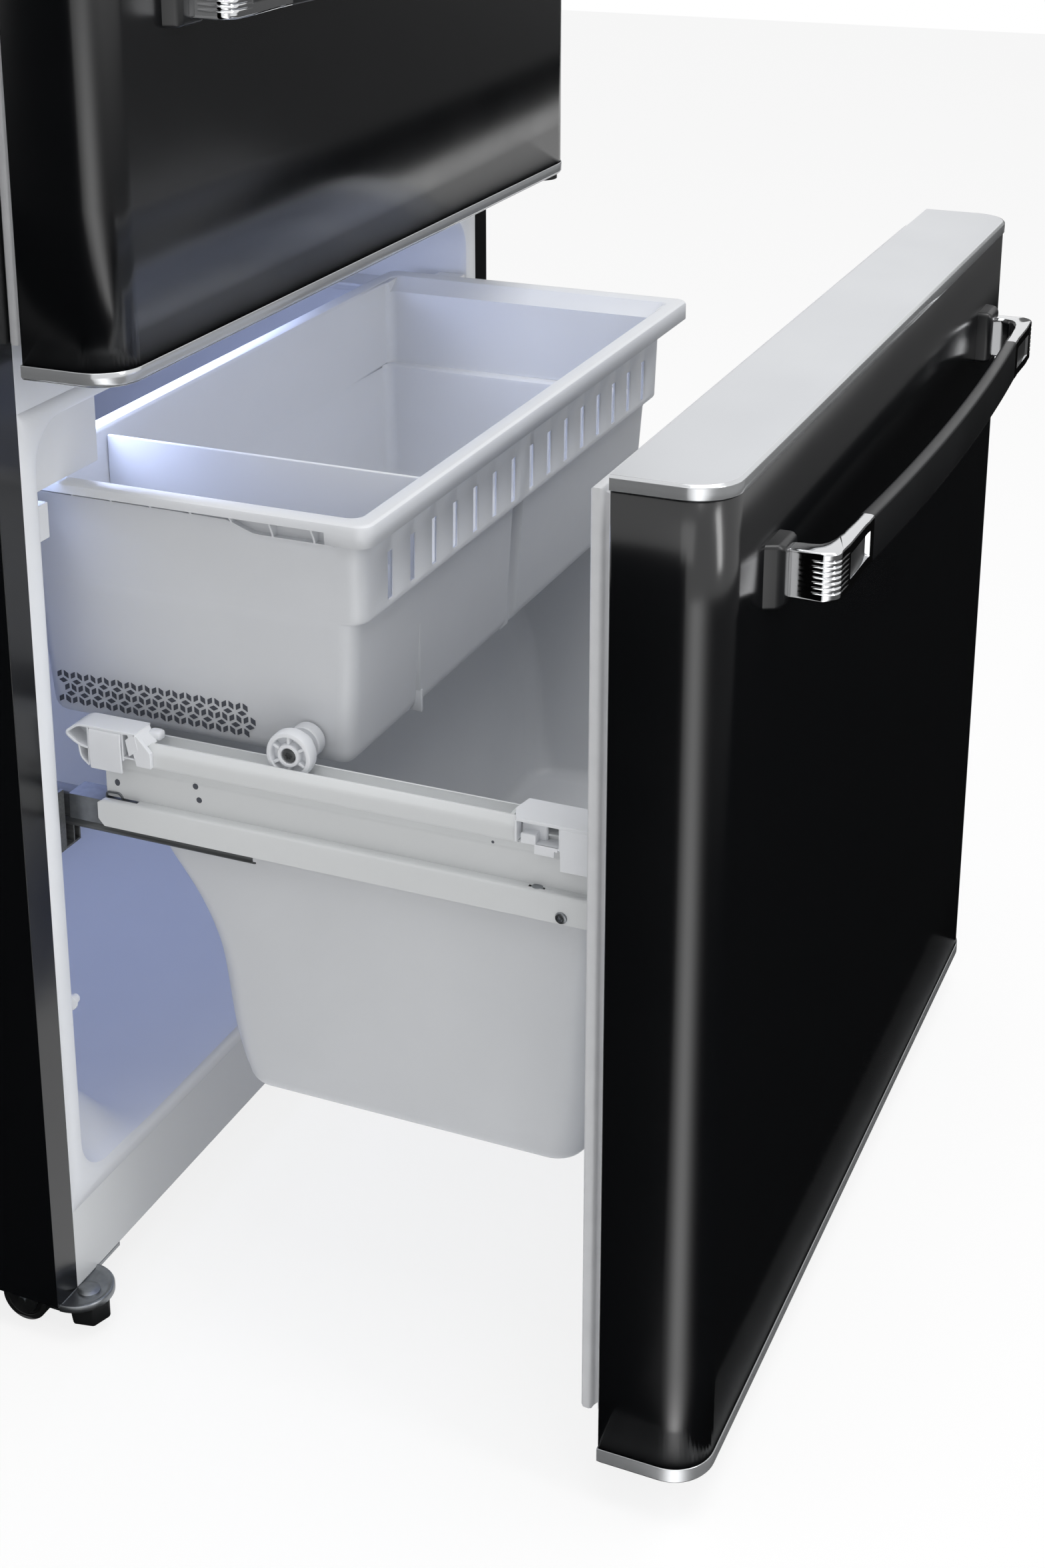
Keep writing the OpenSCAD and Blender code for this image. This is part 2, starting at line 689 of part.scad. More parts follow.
module rail_guides() {
  yf = rail_front + 1;
  yr = rail_end - 38;
  color(white) at0() out() both() {
    // front guide with its window
    difference() {
      translate([0, yf, 0]) along_x(ro + seal_gap, ro + 4) guide_profile_front();
      box(ro - 1, ro + 6, yf + 30, yf + 52, trough_z - 4, rail_top - 1);
    }
    box(ro - 22, ro + 4, yf, yf + 46, rail_top + 0.2, rail_top + 15);
    // rear guide: cap, cheek and tapered tail
    difference() {
      along_x(ro - 22, ro + 4) polygon([[yr, rail_top + 0.2], [yr, rail_top + 7], [yr + 4, rail_top + 13],
        [yr + 47, rail_top + 13], [yr + 72, rail_top - 4], [yr + 72, rail_top - 9],
        [yr + 53, trough_z - 20], [yr + 39, trough_z - 20], [yr + 39, rail_top + 0.2]]);
      box(ro - 23, ro + 1, yr + 38, yr + 90, trough_z - 30, rail_top + 7);
    }
    along_x(ro + seal_gap, ro + 4) polygon([[yr + 2, rail_top + 1], [yr + 39.5, rail_top + 1], [yr + 39.5, trough_z - 18],
      [yr + 27, trough_z - 18], [yr + 21, trough_z - 4]]);
  }
}

// ---- deep bin: a side profile crossed with a tapered front view
bin_top = bin_ledge;
bz = bin_top - bin_depth;
bin_y = rail_front + 14;
bin_end = rail_end + 21;
function bin_side(t) = let (a = bin_y + t, b = bin_end - t) [[a, bin_top + t], [a + 8, bin_top - 100],
  [a + 16, bz + 60], [a + 22, bz + 28], [a + 34, bz + 9 + t], [a + 52, bz + t], [b - 114, bz + t],
  [b - 98, bz + 5 + t], [b - 85, bz + 22], [b - 79, bz + 52], [b - 75, bz + 118], [b - 57, bz + 165],
  [b - 33, bz + 199], [b - 14, bz + 238], [b, bin_top + t]];
function bin_front(t) = [for (p = [[bin_x - t, bin_top + t], [bin_x - 15 - t, bz + 18],
    [bin_x - 20 - t, bz + 6 + t], [bin_x - 30 - t, bz + t]]) p];
module bin_solid(t) {
  intersection() {
    along_x(-bin_x, bin_x) polygon(bin_side(t));
    along_y(0, bin_end + 34) polygon(concat(bin_front(t), [for (i = [3:-1:0]) [-bin_front(t)[i][0], bin_front(t)[i][1]]]));
  }
}
module lower_bin() {
  color(white) at0() out() union() {
    difference() {
      bin_solid(0);
      bin_solid(bin_wall);
    }
    difference() {
      translate([0, (bin_y + bin_end) / 2, bin_top]) linear_extrude(2.5)
        rrect(2 * bin_rim, bin_end - bin_y + 18, 14);
      translate([0, (bin_y + bin_end) / 2, bin_top - 1]) linear_extrude(5)
        square([2 * (bin_x - bin_wall), bin_end - bin_y - 2 * bin_wall], center = true);
    }
  }
}

// ---- roller basket
module plate_at(x0, x1, ya, yb, z, r) {
  translate([(x0 + x1) / 2, (ya + yb) / 2, z]) linear_extrude(0.01) rrect(x1 - x0, yb - ya, r);
}
basket_back = basket_y + basket_length - 11;
// outline of the basket at a level: the right wall stands in by the ledge
module basket_plate(side, right, ya, yb, z, t) {
  plate_at(-bx + side + t, bx - side - right - t, ya + t, yb - t, z, 12 - t);
}
module basket_shape(t, top) {
  // lower pocket
  hull() {
    basket_plate(21, basket_ledge + 12, basket_y + 26, basket_back - 9, basket_bottom + t, t);
    basket_plate(16, basket_ledge + 11, basket_y + 19, basket_back - 3, step_z + t, t);
  }
  // upper band with the slots
  hull() {
    basket_plate(16, basket_ledge + 2, basket_y + 12, basket_back - 3, step_z + t, t);
    basket_plate(12, basket_ledge, basket_y + 11, basket_back, top, t);
  }
}
groove_x = -22;
groove_w = 20;
module groove(t) {
  box(groove_x - groove_w / 2 - t, groove_x + groove_w / 2 + t, basket_y, basket_y + 32 + t,
    basket_bottom - 5, step_z - 3 + t);
}
module upper_basket() {
  w = basket_wall;
  color(white) at0() out() union() {
    difference() {
      basket_shape(0, basket_top - 1);
      difference() {
        basket_shape(w, basket_top + 1);
        groove(w);
      }
      groove(0);
      for (i = [0:slot_count - 1])
        translate([(i - (slot_count - 1) / 2) * slot_pitch - (basket_ledge + slot_width) / 2, basket_y + 5, slot_z])
          cube([slot_width, 14, slot_height]);
      // the right wall ends under the ledge
      box(ledge_x - 20, bx, basket_y + 11 + w, basket_back - w, basket_top - 10, basket_top + 5);
    }
    // sloping ledge between the right wall and the rim
    along_y(basket_y + 11, basket_back) polygon([[ledge_x - w, basket_top - 10], [bx - 16, basket_top],
      [bx - 13, basket_top], [bx - 13, basket_top - 3], [bx - 15, basket_top - 3], [ledge_x, basket_top - 12.5],
      [ledge_x - w, basket_top - 12.5]]);
    // rim with a turned-down lip
    difference() {
      translate([0, basket_y + basket_length / 2, basket_top - 14]) linear_extrude(14)
        rrect(basket_width, basket_length, 8);
      translate([0, basket_y + basket_length / 2, basket_top - 15]) linear_extrude(12)
        rrect(basket_width - 6, basket_length - 6, 6);
      translate([0, 0, basket_top - 5]) scale([1, 1, 1000])
        plate_at(-bx + 12 + w, bx - 16, basket_y + 11 + w, basket_back - w, 0, 12 - w);
      // behind the front corners the sides keep only the rim's edge, over open ribs
      both() box(bx - 5, bx + 1, basket_y + 31, basket_back - 3, basket_top - 15, basket_top - 5);
    }
    // ribs under the rim
    both() for (i = [0:6]) box(bx - 13, bx - 6.5, basket_y + 43 + i * 32.7, basket_y + 44.5 + i * 32.7,
      basket_top - (i < 2 ? 13 : 10), basket_top - 2);
    // fin that closes the ribs of the left side from below and rises behind the second rib
    mirror([1, 0, 0]) along_x(bx - 13.5, bx - 6.5) polygon([for (q = [[29, 0], [90, 0], [112, 3.2],
      [basket_length - 14, 3.2], [basket_length - 14, 4.6], [112, 4.6], [90, 1.4], [29, 1.4]])
      [basket_y + q[0], basket_top - 14 + q[1]]]);
    // divider of the ice section
    intersection() {
      basket_shape(w / 2, basket_top - 4);
      box(-bx + 128, -bx + 131, basket_y, basket_y + basket_length, basket_bottom, basket_top);
    }
    // wheel bosses, axles and screw heads
    translate([bx - 58, basket_wheel_y, wheel_z]) rotate([0, 90, 0]) cylinder(d = 26, h = 40);
    both() translate([0, basket_wheel_y, wheel_z]) rotate([0, 90, 0]) {
      translate([0, 0, bx - 23]) cylinder(d = 26, h = ro - 27 - bx + 23);
      translate([0, 0, bx - 23]) cylinder(d = 18, h = ro - 17 - bx + 23);
      translate([0, 0, ro - 18]) cylinder(d = 6, h = wheel_width + 3.6);
      translate([0, 0, ro - 17 + wheel_width + 1]) cylinder(d = 10, h = 1.5);
    }
  }
}
module basket_wheel() {
  color("#dfe2e4") at0() out() translate([ro - 16.5, basket_wheel_y, wheel_z]) rotate([0, 90, 0]) {
    difference() {
      cylinder(d = wheel_diameter, h = wheel_width);
      translate([0, 0, -1]) cylinder(d = 6 + 2 * running, h = wheel_width + 2);
      translate([0, 0, wheel_width - 4]) difference() {
        cylinder(d = wheel_diameter - 7, h = 5);
        translate([0, 0, -1]) cylinder(d = 15, h = 7);
        for (i = [0:5]) rotate([0, 0, i * 60]) translate([0, -1, -1])
          cube([wheel_diameter / 2, 2, 7]);
      }
    }
  }
}
module basket_wheel_left() { mirror([1, 0, 0]) basket_wheel(); }
module basket_wheel_right() { basket_wheel(); }
module basket_side_rails() {
  color(white) at0() both() union() {
    box(cx - 13, cx, front + 2, front + 30, basket_rail_z - 17, basket_rail_z + 10);
    box(cx - 6, cx, front + 30, evap_y - 2, basket_rail_z - 17, basket_rail_z);
    box(bx - 3, cx, front + 30, evap_y - 4, basket_rail_z - 3, basket_rail_z);
  }
}

// ---- ice maker
module icemaker_housing() {
  x0 = ice_x - ice_w / 2;
  x1 = ice_x + ice_w / 2;
  ya = front + 7;
  color(white) at0() union() {
    difference() {
      box(x0, x1, ya, ya + ice_l, freezer_top - ice_h, freezer_top);
      box(x0 + 2, x1 - 2, ya + 2, ya + ice_l - 2, freezer_top - ice_h - 1, freezer_top - 2);
    }
    translate([ice_x, ya + 1, tray_z]) rotate([-90, 0, 0]) cylinder(d = 5, h = 14);
    translate([ice_x, ya + ice_l - 15, tray_z]) rotate([-90, 0, 0]) cylinder(d = 5, h = 14);
  }
}
module ice_tray() {
  ya = front + 7 + 6;
  l = ice_l - 12;
  color("#cdd6dd") at0() difference() {
    union() {
      translate([ice_x, ya, tray_z]) rotate([-90, 0, 0]) cylinder(d = 12, h = l);
      along_y(ya, ya + l) translate([ice_x, tray_z]) intersection() {
        circle(r = tray_r);
        translate([-tray_r, -14]) square([2 * tray_r, 20]);
      }
    }
    for (i = [0:6]) translate([ice_x, ya + 15 + (l - 30) * (i + 0.5) / 7, tray_z - 3])
      translate([-17, -(l - 30) / 14 + 1.2, 0]) cube([34, (l - 30) / 7 - 2.4, 20]);
    for (y = [ya - 1, ya + l - 10.5]) translate([ice_x, y, tray_z]) rotate([-90, 0, 0])
      cylinder(d = 5 + 2 * running, h = 11.5);
  }
}

// ---- freezer back: cover, coil and fan
module evaporator_cover() {
  z0 = hump_height + 1;
  z1 = freezer_top - 1;
  color(white) at0() union() {
    difference() {
      box(-cx + 4, cx - 4, evap_y, cavity_back, z0, z1);
      box(-cx + 6, cx - 6, evap_y + 2, cavity_back + 1, z0 + 2, z1 - 2);
      translate([0, evap_y - 1, fan_z]) rotate([-90, 0, 0]) difference() {
        cylinder(d = 104, h = 5);
        for (d = [34, 66]) translate([0, 0, -1]) difference() {
          cylinder(d = d + 5, h = 7);
          translate([0, 0, -1]) cylinder(d = d, h = 9);
        }
        for (a = [0, 60, 120]) rotate([0, 0, a]) cube([110, 4, 20], center = true);
      }
      for (i = [-6:6]) box(i * 40 - 15, i * 40 + 15, evap_y - 1, evap_y + 3, z0 + 12, z0 + 22);
    }
    // motor on two arms, with its shaft
    translate([0, cavity_back - 16, fan_z]) rotate([-90, 0, 0]) cylinder(d = 44, h = 16);
    box(-70, 70, cavity_back - 5, cavity_back, fan_z - 8, fan_z + 8);
    box(-9, 9, cavity_back - 5, cavity_back, fan_z, z1);
    translate([0, cavity_back - 36, fan_z]) rotate([-90, 0, 0]) cylinder(d = 5, h = 24);
  }
}
module fan(d, h, bore, hub) {
  difference() {
    union() {
      cylinder(d = hub, h = h);
      for (i = [0:4]) rotate([0, 0, i * 72]) translate([0, 0, h / 2]) rotate([28, 0, 0])
        translate([hub / 2 - 3, -1, -h * 0.42]) cube([d / 2 - hub / 2 + 1, 2, h * 0.84]);
    }
    translate([0, 0, -1]) cylinder(d = bore, h = h + 2);
  }
}
module evaporator_fan() {
  color("#c9ced2") at0() translate([0, cavity_back - 35.5, fan_z]) rotate([-90, 0, 0])
    fan(92, 18, 5 + 2 * running, 26);
}
module condenser_fan() {
  color("#2b2d30") at0() translate([-14, ms_mid - 1, base_height + 108]) rotate([0, 90, 0])
    fan(150, 22, 6 + 2 * running, 32);
}
// finned coil: plates on straight tubes
module coil(w, d, h, fins, cols, rows, tube) {
  for (i = [0:fins - 1]) translate([-w / 2 + i * w / (fins - 1) - 0.6, 0, 0]) cube([1.2, d, h]);
  for (j = [0:cols - 1], k = [0:rows - 1])
    translate([-w / 2, d * (j + 0.5) / cols, h * (k + 0.5) / rows]) rotate([0, 90, 0])
      cylinder(d = tube, h = w, $fn = 24);
}
module evaporator_coil() {
  color("#b9c0c4") at0() union() {
    translate([0, evap_y + 10, hump_height + 24]) coil(560, 38, 190, 15, 1, 5, 8);
    both() box(275, 279, evap_y + 10, cavity_back - 2, hump_height + 3, hump_height + 80);
  }
}
module compressor() {
  z = base_height + pan;
  color("#1a1b1d") at0() translate([cw - 190, ms_mid + 6, z]) union() {
    box(-82, 82, -55, 55, 8, 11);
    for (i = [-1, 1], j = [-1, 1]) translate([i * 70, j * 42, 0]) cylinder(d = 20, h = 9);
    intersection() {
      cylinder(r = 70, h = 200);
      translate([0, 0, 92]) sphere(r = 92);
      translate([0, 0, 86]) sphere(r = 92);
    }
    box(58, 84, -24, 24, 60, 115);
    for (a = [0, 1]) translate([-30 + 44 * a, 66, 96]) rotate([0, 0, 0]) cylinder(d = 8, h = 74);
    for (a = [0, 1]) translate([-30 + 44 * a, 30, 96]) rotate([-90, 0, 0]) cylinder(d = 8, h = 40);
  }
}
module condenser_coil() {
  z = base_height + pan;
  color(steel) at0() translate([-cw + 190, ms_mid - pan_depth / 2 - 1, z]) union() {
    translate([0, 10, 44]) coil(coil_width, pan_depth - 20, 150, 12, 3, 4, 8);
    for (i = [-1, 1]) box(i * (coil_width / 2 + 1) - 1, i * (coil_width / 2 + 1) + 1, 4, pan_depth - 4, 0, 200);
  }
}
module drain_pan() {
  z = base_height + pan;
  color("#303236") at0() translate([-cw + 190, ms_mid - pan_depth / 2 - 1, z]) difference() {
    box(-coil_width / 2 + 7, coil_width / 2 - 7, 0, pan_depth, 0, 34);
    box(-coil_width / 2 + 9, coil_width / 2 - 9, 2, pan_depth - 2, 2, 35);
  }
}
module machine_cover() {
  z1 = ms_top;
  color(steel) at0() difference() {
    box(-cw + shell_thickness, cw - shell_thickness, back - shell_thickness, back,
      base_height, z1);
    for (i = [-8:8], j = [0:1]) if (abs(i) > 0)
      box(i * 42 - 16, i * 42 + 16, back - 3, back + 1, base_height + 60 + j * 110,
        base_height + 66 + j * 110);
  }
}

// ---- fresh-food space
duct_pitch = (fridge_top - cover_z - 102) / 5;
module air_duct() {
  color(white) at0() difference() {
    box(-110, 110, cavity_back - 24, cavity_back, cover_z + 20, fridge_top - 12);
    box(-107, 107, cavity_back - 21, cavity_back + 1, cover_z + 23, fridge_top - 15);
    for (z = [0:4], i = [-1, 1]) box(i * 60 - 34, i * 60 + 34, cavity_back - 25, cavity_back - 20,
      cover_z + 90 + z * duct_pitch, cover_z + 98 + z * duct_pitch);
  }
}
module glass_shelves() {
  color("#a9c4c0") at0() for (z = shelf_levels)
    box(-cx + 1, cx - 1, shelf_front, shelf_back, z, z + 4);
}
module crisper() {
  z0 = fridge_floor + seal_gap;
  z1 = cover_z - 22;
  ya = shelf_front + 8;
  yb = shelf_back - 10;
  color("#cfd8e0") at0() difference() {
    union() {
      along_y(ya, yb) polygon([[14, z0], [cx - 16, z0], [cx - 6, z1], [5, z1]]);
      along_y(ya - 4, ya + 1) polygon([[4, z0], [cx - 5, z0], [cx - 5, z1 + 8], [4, z1 + 8]]);
    }
    along_y(ya + 2.5, yb - 2.5) polygon([[16.5, z0 + 2.5], [cx - 18.5, z0 + 2.5], [cx - 8.5, z1 + 1], [7.5, z1 + 1]]);
    box(cx / 2 - 60, cx / 2 + 60, ya - 5, ya - 1.5, z1 - 24, z1 + 2);
  }
}
module crisper_left() { mirror([1, 0, 0]) crisper(); }
module crisper_right() { crisper(); }

cabinet_shell();
cabinet_back();
base_pan();
insulation();
freezer_liner();
fridge_liner();
mullion_cover();
plinth_panel();
foot_plates();
top_hinge();
middle_hinge();
hinge_cover();
cabinet_slides();
basket_side_rails();
icemaker_housing();
evaporator_cover();
evaporator_coil();
air_duct();
compressor();
condenser_coil();
machine_cover();
drain_pan();
glass_shelves();
roller_front_left();
roller_front_right();
roller_rear_left();
roller_rear_right();
leveling_foot_left();
leveling_foot_right();
evaporator_fan();
condenser_fan();
ice_tray();
crisper_left();
crisper_right();
upper_door_skin();
upper_door_foam();
upper_door_liner();
upper_door_gasket();
upper_door_cap();
upper_door_trim();
upper_handle_bar();
upper_handle_fittings();
door_bins();
drawer_skin();
drawer_foam();
drawer_liner();
drawer_gasket();
drawer_cap();
drawer_trim();
drawer_handle_bar();
drawer_handle_fittings();
drawer_rail_left();
drawer_rail_right();
rail_guides();
drawer_slides();
lower_bin();
intermediate_slides();
upper_basket();
basket_wheel_left();
basket_wheel_right();
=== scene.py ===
# Retro refrigerator with its freezer drawer pulled out: enamel, trims, liners and drawer parts.
import json
import math

import bmesh
import bpy
import numpy as np
from bpy.props import FloatProperty, FloatVectorProperty, IntProperty, PointerProperty
from mathutils import Matrix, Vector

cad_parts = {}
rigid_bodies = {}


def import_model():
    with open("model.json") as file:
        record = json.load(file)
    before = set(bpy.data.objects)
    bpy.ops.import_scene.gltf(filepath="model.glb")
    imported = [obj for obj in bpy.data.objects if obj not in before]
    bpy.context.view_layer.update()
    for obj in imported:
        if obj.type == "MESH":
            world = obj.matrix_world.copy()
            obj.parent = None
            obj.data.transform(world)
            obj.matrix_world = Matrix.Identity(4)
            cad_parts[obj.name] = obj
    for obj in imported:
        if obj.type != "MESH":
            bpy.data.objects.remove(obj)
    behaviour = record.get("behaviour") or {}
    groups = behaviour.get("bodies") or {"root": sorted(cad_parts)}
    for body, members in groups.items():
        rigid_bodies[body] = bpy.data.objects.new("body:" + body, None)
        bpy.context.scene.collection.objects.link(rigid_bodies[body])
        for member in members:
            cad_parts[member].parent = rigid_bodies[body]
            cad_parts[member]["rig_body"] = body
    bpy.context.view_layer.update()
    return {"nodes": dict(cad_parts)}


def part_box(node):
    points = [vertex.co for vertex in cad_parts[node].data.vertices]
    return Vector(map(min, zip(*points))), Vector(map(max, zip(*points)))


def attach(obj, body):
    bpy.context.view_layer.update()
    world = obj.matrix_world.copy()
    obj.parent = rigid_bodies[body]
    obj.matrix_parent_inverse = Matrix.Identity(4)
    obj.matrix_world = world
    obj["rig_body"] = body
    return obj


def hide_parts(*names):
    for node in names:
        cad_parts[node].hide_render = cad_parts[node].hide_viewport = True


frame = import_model()

bl_info = {
    "name": "Retro Refrigerator",
    "version": (1, 0, 0),
    "blender": (4, 5, 0),
    "location": "View3D > Sidebar > Refrigerator",
    "description": "Makes the enamel, trims, liners and drawer parts of a retro refrigerator",
    "category": "Object",
}

MM = 0.001
FRONTS = ("upper_door", "drawer")
GRIPS = {"upper_door": "upper_handle", "drawer": "drawer_handle"}
SIDES = {-1: "left", 1: "right"}


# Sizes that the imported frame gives, in millimetres

def ends(name):
    """Lowest and highest corner of a frame node."""
    lo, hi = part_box(name)
    return np.array(lo) / MM, np.array(hi) / MM


DOOR_BACK = ends("upper_door_skin")[1][1]
DRAWER_BACK = ends("drawer_skin")[1][1]


# Materials

def linear(code):
    """sRGB hex to linear RGBA: c / 12.92 below 0.04045, else ((c + 0.055) / 1.055) to the power 2.4."""
    c = np.array([int(code[i : i + 2], 16) for i in (1, 3, 5)]) / 255
    c = np.where(c <= 0.04045, c / 12.92, ((c + 0.055) / 1.055) ** 2.4)
    return (*c.tolist(), 1.0)


def add(owner, kind, links=None, **settings):
    """Adds a node to a material or world.

    settings are sockets or properties by name, with spaces written as underscores. links maps a socket to an
    output, to a node whose first output it takes, or to a number.
    """
    tree = owner.node_tree
    node = tree.nodes.new(kind)
    for key, value in settings.items():
        name = key.replace("_", " ")
        if name in node.inputs:
            node.inputs[name].default_value = value
        else:
            setattr(node, key, value)
    for socket, source in (links or {}).items():
        if isinstance(source, (int, float)):
            node.inputs[socket].default_value = source
        else:
            output = source.outputs[0] if isinstance(source, bpy.types.Node) else source
            tree.links.new(output, node.inputs[socket])
    return node


def noise(mat, size_mm, detail, stretch=(1, 1, 1)):
    """Noise on object coordinates with one bump about every size_mm millimetres, stretched along the axes."""
    where = add(mat, "ShaderNodeTexCoord").outputs["Object"]
    place = add(mat, "ShaderNodeMapping", {"Vector": where}, Scale=stretch)
    return add(mat, "ShaderNodeTexNoise", {"Vector": place}, Scale=1000 / size_mm, Detail=detail)


def blank(name):
    """A material without nodes."""
    mat = bpy.data.materials.new(name)
    mat.use_nodes = True
    mat.node_tree.nodes.clear()
    return mat


def surface(name, color, relief=None, patches=None, gloss=None, **sockets):
    """A Principled finish in one colour, varied by noise that is written (millimetres, detail, stretch).

    relief is the noise and its depth in millimetres, patches the noise and two colours that it mixes, and
    gloss the noise and the least and most roughness. sockets set the rest of the shader.
    """
    mat = blank(name)
    links = {}
    if relief:
        grain, depth = relief
        height = noise(mat, *grain)
        links["Normal"] = add(mat, "ShaderNodeBump", {"Height": height}, Strength=1.0, Distance=depth * MM)
    if patches:
        grain, dark, light = patches
        mix = add(mat, "ShaderNodeMix", {"Factor": noise(mat, *grain)}, data_type="RGBA")
        mix.inputs[6].default_value = linear(dark)
        mix.inputs[7].default_value = linear(light)
        links["Base Color"] = mix.outputs[2]
    if gloss:
        grain, least, most = gloss
        shade = noise(mat, *grain)
        links["Roughness"] = add(mat, "ShaderNodeMapRange", {"Value": shade}, To_Min=least, To_Max=most)
    rgba = linear(color) if isinstance(color, str) else (*color, 1.0)
    shader = add(mat, "ShaderNodeBsdfPrincipled", links, Base_Color=rgba, **sockets)
    add(mat, "ShaderNodeOutputMaterial", {"Surface": shader})
    return mat


def black_enamel():
    """Enamel sprayed on steel: near black, glossy, with a faint orange peel every 4 mm."""
    color = bpy.context.scene.fridge_finishes.enamel
    return surface("black enamel", color, ((4, 1), 0.006), gloss=((60, 2), 0.17, 0.23), IOR=1.6)


def satin_alloy():
    """Brushed aluminium of the caps: fine lines 0.6 mm apart along the width give a soft pale sheen."""
    brush = (0.6, 3, (0.02, 1, 1))
    patches = ((120, 2), "#c6c8cc", "#d3d5d8")
    return surface("satin aluminium", "#c9cbce", (brush, 0.004), patches, (brush, 0.29, 0.36), Metallic=0.72)


def chrome_plate():
    """Bright chrome on a casting: mirror-like, with barely visible polishing waves every 25 mm."""
    return surface("chrome plate", "#d6d7d9", ((25, 1), 0.05), gloss=((8, 3), 0.04, 0.09), Metallic=1.0)


def bright_trim():
    """Extruded trim with a bright-dipped, clear-lacquered face: mirror-like over a pale grey body."""
    color = bpy.context.scene.fridge_finishes.trim
    gloss = ((10, 2), 0.11, 0.18)
    return surface("bright-dipped aluminium", color, ((30, 1), 0.03), gloss=gloss, Metallic=0.68)


def satin_black():
    """Powder-coated bar: black with a satin face and a fine texture, drawn 0.8 mm wide so that it shows."""
    color = bpy.context.scene.fridge_finishes.handle_bar
    return surface("satin black coating", color, ((0.8, 2), 0.008), gloss=((30, 2), 0.27, 0.36), IOR=1.5)


def moulded(name, dark, light, rough, texture_mm):
    """Moulded or vacuum-formed plastic: white, eggshell gloss, with a faint mould texture of that size."""
    gloss = ((14, 2), rough - 0.04, rough + 0.05)
    return surface(name, light, ((texture_mm, 2), 0.01), ((90, 2), dark, light), gloss, IOR=1.48)


def formed_polystyrene():
    """Vacuum-formed liner: the whitest and glossiest of the plastics, its texture stretched to 2.5 mm."""
    return moulded("formed polystyrene liner", "#e2e5ea", "#e9ebef", 0.3, 2.5)


def moulded_polypropylene():
    """Injection-moulded guides, covers and wheels: white with a fine texture."""
    return moulded("moulded polypropylene", "#dcdee2", "#e3e5e8", 0.4, 1.2)


def basket_polypropylene():
    """Injection-moulded basket: a shade greyer and duller than the guides."""
    return moulded("basket polypropylene", "#d2d4d8", "#d9dbde", 0.42, 1.0)


def bin_polypropylene():
    """Injection-moulded deep bin: a little glossier than the basket."""
    return moulded("bin polypropylene", "#d5d7da", "#dddfe2", 0.36, 1.0)


def white_enamel():
    """Powder-coated sheet steel: clean white, a little glossier than the plastic beside it."""
    color = bpy.context.scene.fridge_finishes.white_sheet
    return surface("white enamel", color, ((2.2, 1), 0.0015), gloss=((120, 1), 0.28, 0.32), IOR=1.5)


def vinyl_seal():
    """Soft extruded vinyl: pale grey and matt, with a slight waviness along its length."""
    patches = ((18, 2), "#c8c9cc", "#d6d7d9")
    return surface("vinyl seal", "#cfd0d2", ((9, 1), 0.08), patches, Roughness=0.6, IOR=1.45)


def zinc_plate():
    """Zinc-plated steel: grey metal with soft cloudy spangle about 6 mm across."""
    spangle = (6, 3)
    patches = (spangle, "#7c7f83", "#a3a6a9")
    return surface("zinc plate", "#8e9195", None, patches, (spangle, 0.3, 0.46), Metallic=1.0)


def dark_zinc():
    """Black-passivated slide steel, lightly streaked along its travel where it has been drawn."""
    streak = (2.0, 3, (1, 0.02, 1))
    patches = (streak, "#464849", "#7d7f80")
    return surface("dark zinc", "#5c5e5f", None, patches, (streak, 0.28, 0.44), Metallic=0.55)


def black_plastic():
    """Moulded black ABS: matt, with a fine spark-eroded texture of 0.7 mm."""
    return surface("black ABS", "#131415", ((0.7, 2), 0.02), Roughness=0.5, IOR=1.5)


def foam_block():
    """Rigid polyurethane foam: straw-coloured with cells drawn 1.5 mm wide so that they show."""
    cells = (1.5, 4)
    return surface("polyurethane foam", "#d9cc9a", (cells, 0.2), (cells, "#cbbd87", "#e2d6aa"), Roughness=0.9)


def tempered_glass():
    """Clear shelf glass with a faint green tint and a polished edge."""
    finish = {"Roughness": 0.02, "IOR": 1.52, "Transmission_Weight": 0.92}
    return surface("tempered glass", "#e2f2ec", ((80, 1), 0.01), **finish)


def clear_polystyrene():
    """Clear crisper and bin plastic: bluish, glossy, slightly uneven where it was moulded."""
    finish = {"Roughness": 0.12, "IOR": 1.3, "Transmission_Weight": 0.5}
    return surface("clear polystyrene", "#dfe9f0", ((30, 1), 0.03), **finish)


def bare_aluminium():
    """Rolled fin stock: bright, slightly rough, streaked along the fins."""
    return surface("fin aluminium", "#b5b8ba", gloss=((3, 2, (1, 1, 0.05)), 0.28, 0.45), Metallic=1.0)


def painted_hole_shade():
    """Painted shade: a dull grey that stands for the unlit depth behind a cut-out or hole."""
    return surface("dark recess", "#4a4d55", ((2, 1), 0.02), Roughness=0.8)


FINISHES = {
    "enamel": black_enamel,
    "satin": satin_alloy,
    "chrome": chrome_plate,
    "trim": bright_trim,
    "bar": satin_black,
    "liner": formed_polystyrene,
    "plastic": moulded_polypropylene,
    "basket": basket_polypropylene,
    "bin": bin_polypropylene,
    "sheet": white_enamel,
    "seal": vinyl_seal,
    "zinc": zinc_plate,
    "dark": dark_zinc,
    "abs": black_plastic,
    "foam": foam_block,
    "glass": tempered_glass,
    "clear": clear_polystyrene,
    "fins": bare_aluminium,
    # painted shade that stands for the dark inside of holes and cut-outs
    "hole_shade": painted_hole_shade,
}
MADE = {}


def finish(kind):
    """Makes each finish once and hands it out again."""
    if kind not in MADE:
        MADE[kind] = FINISHES[kind]()
    return MADE[kind]


# Meshes

def merge(parts):
    """Joins (points, faces) pairs into one pair."""
    verts, faces, n = [], [], 0
    for v, f in parts:
        verts.append(np.asarray(v, float).reshape(-1, 3))
        faces += [[int(k) + n for k in q] for q in f]
        n += len(verts[-1])
    return np.concatenate(verts), faces


def mirrored(parts, side):
    """The parts of the right side, or for side -1 their mirror image in x."""
    return [(np.asarray(v, float).reshape(-1, 3) * [side, 1, 1], f) for v, f in parts]


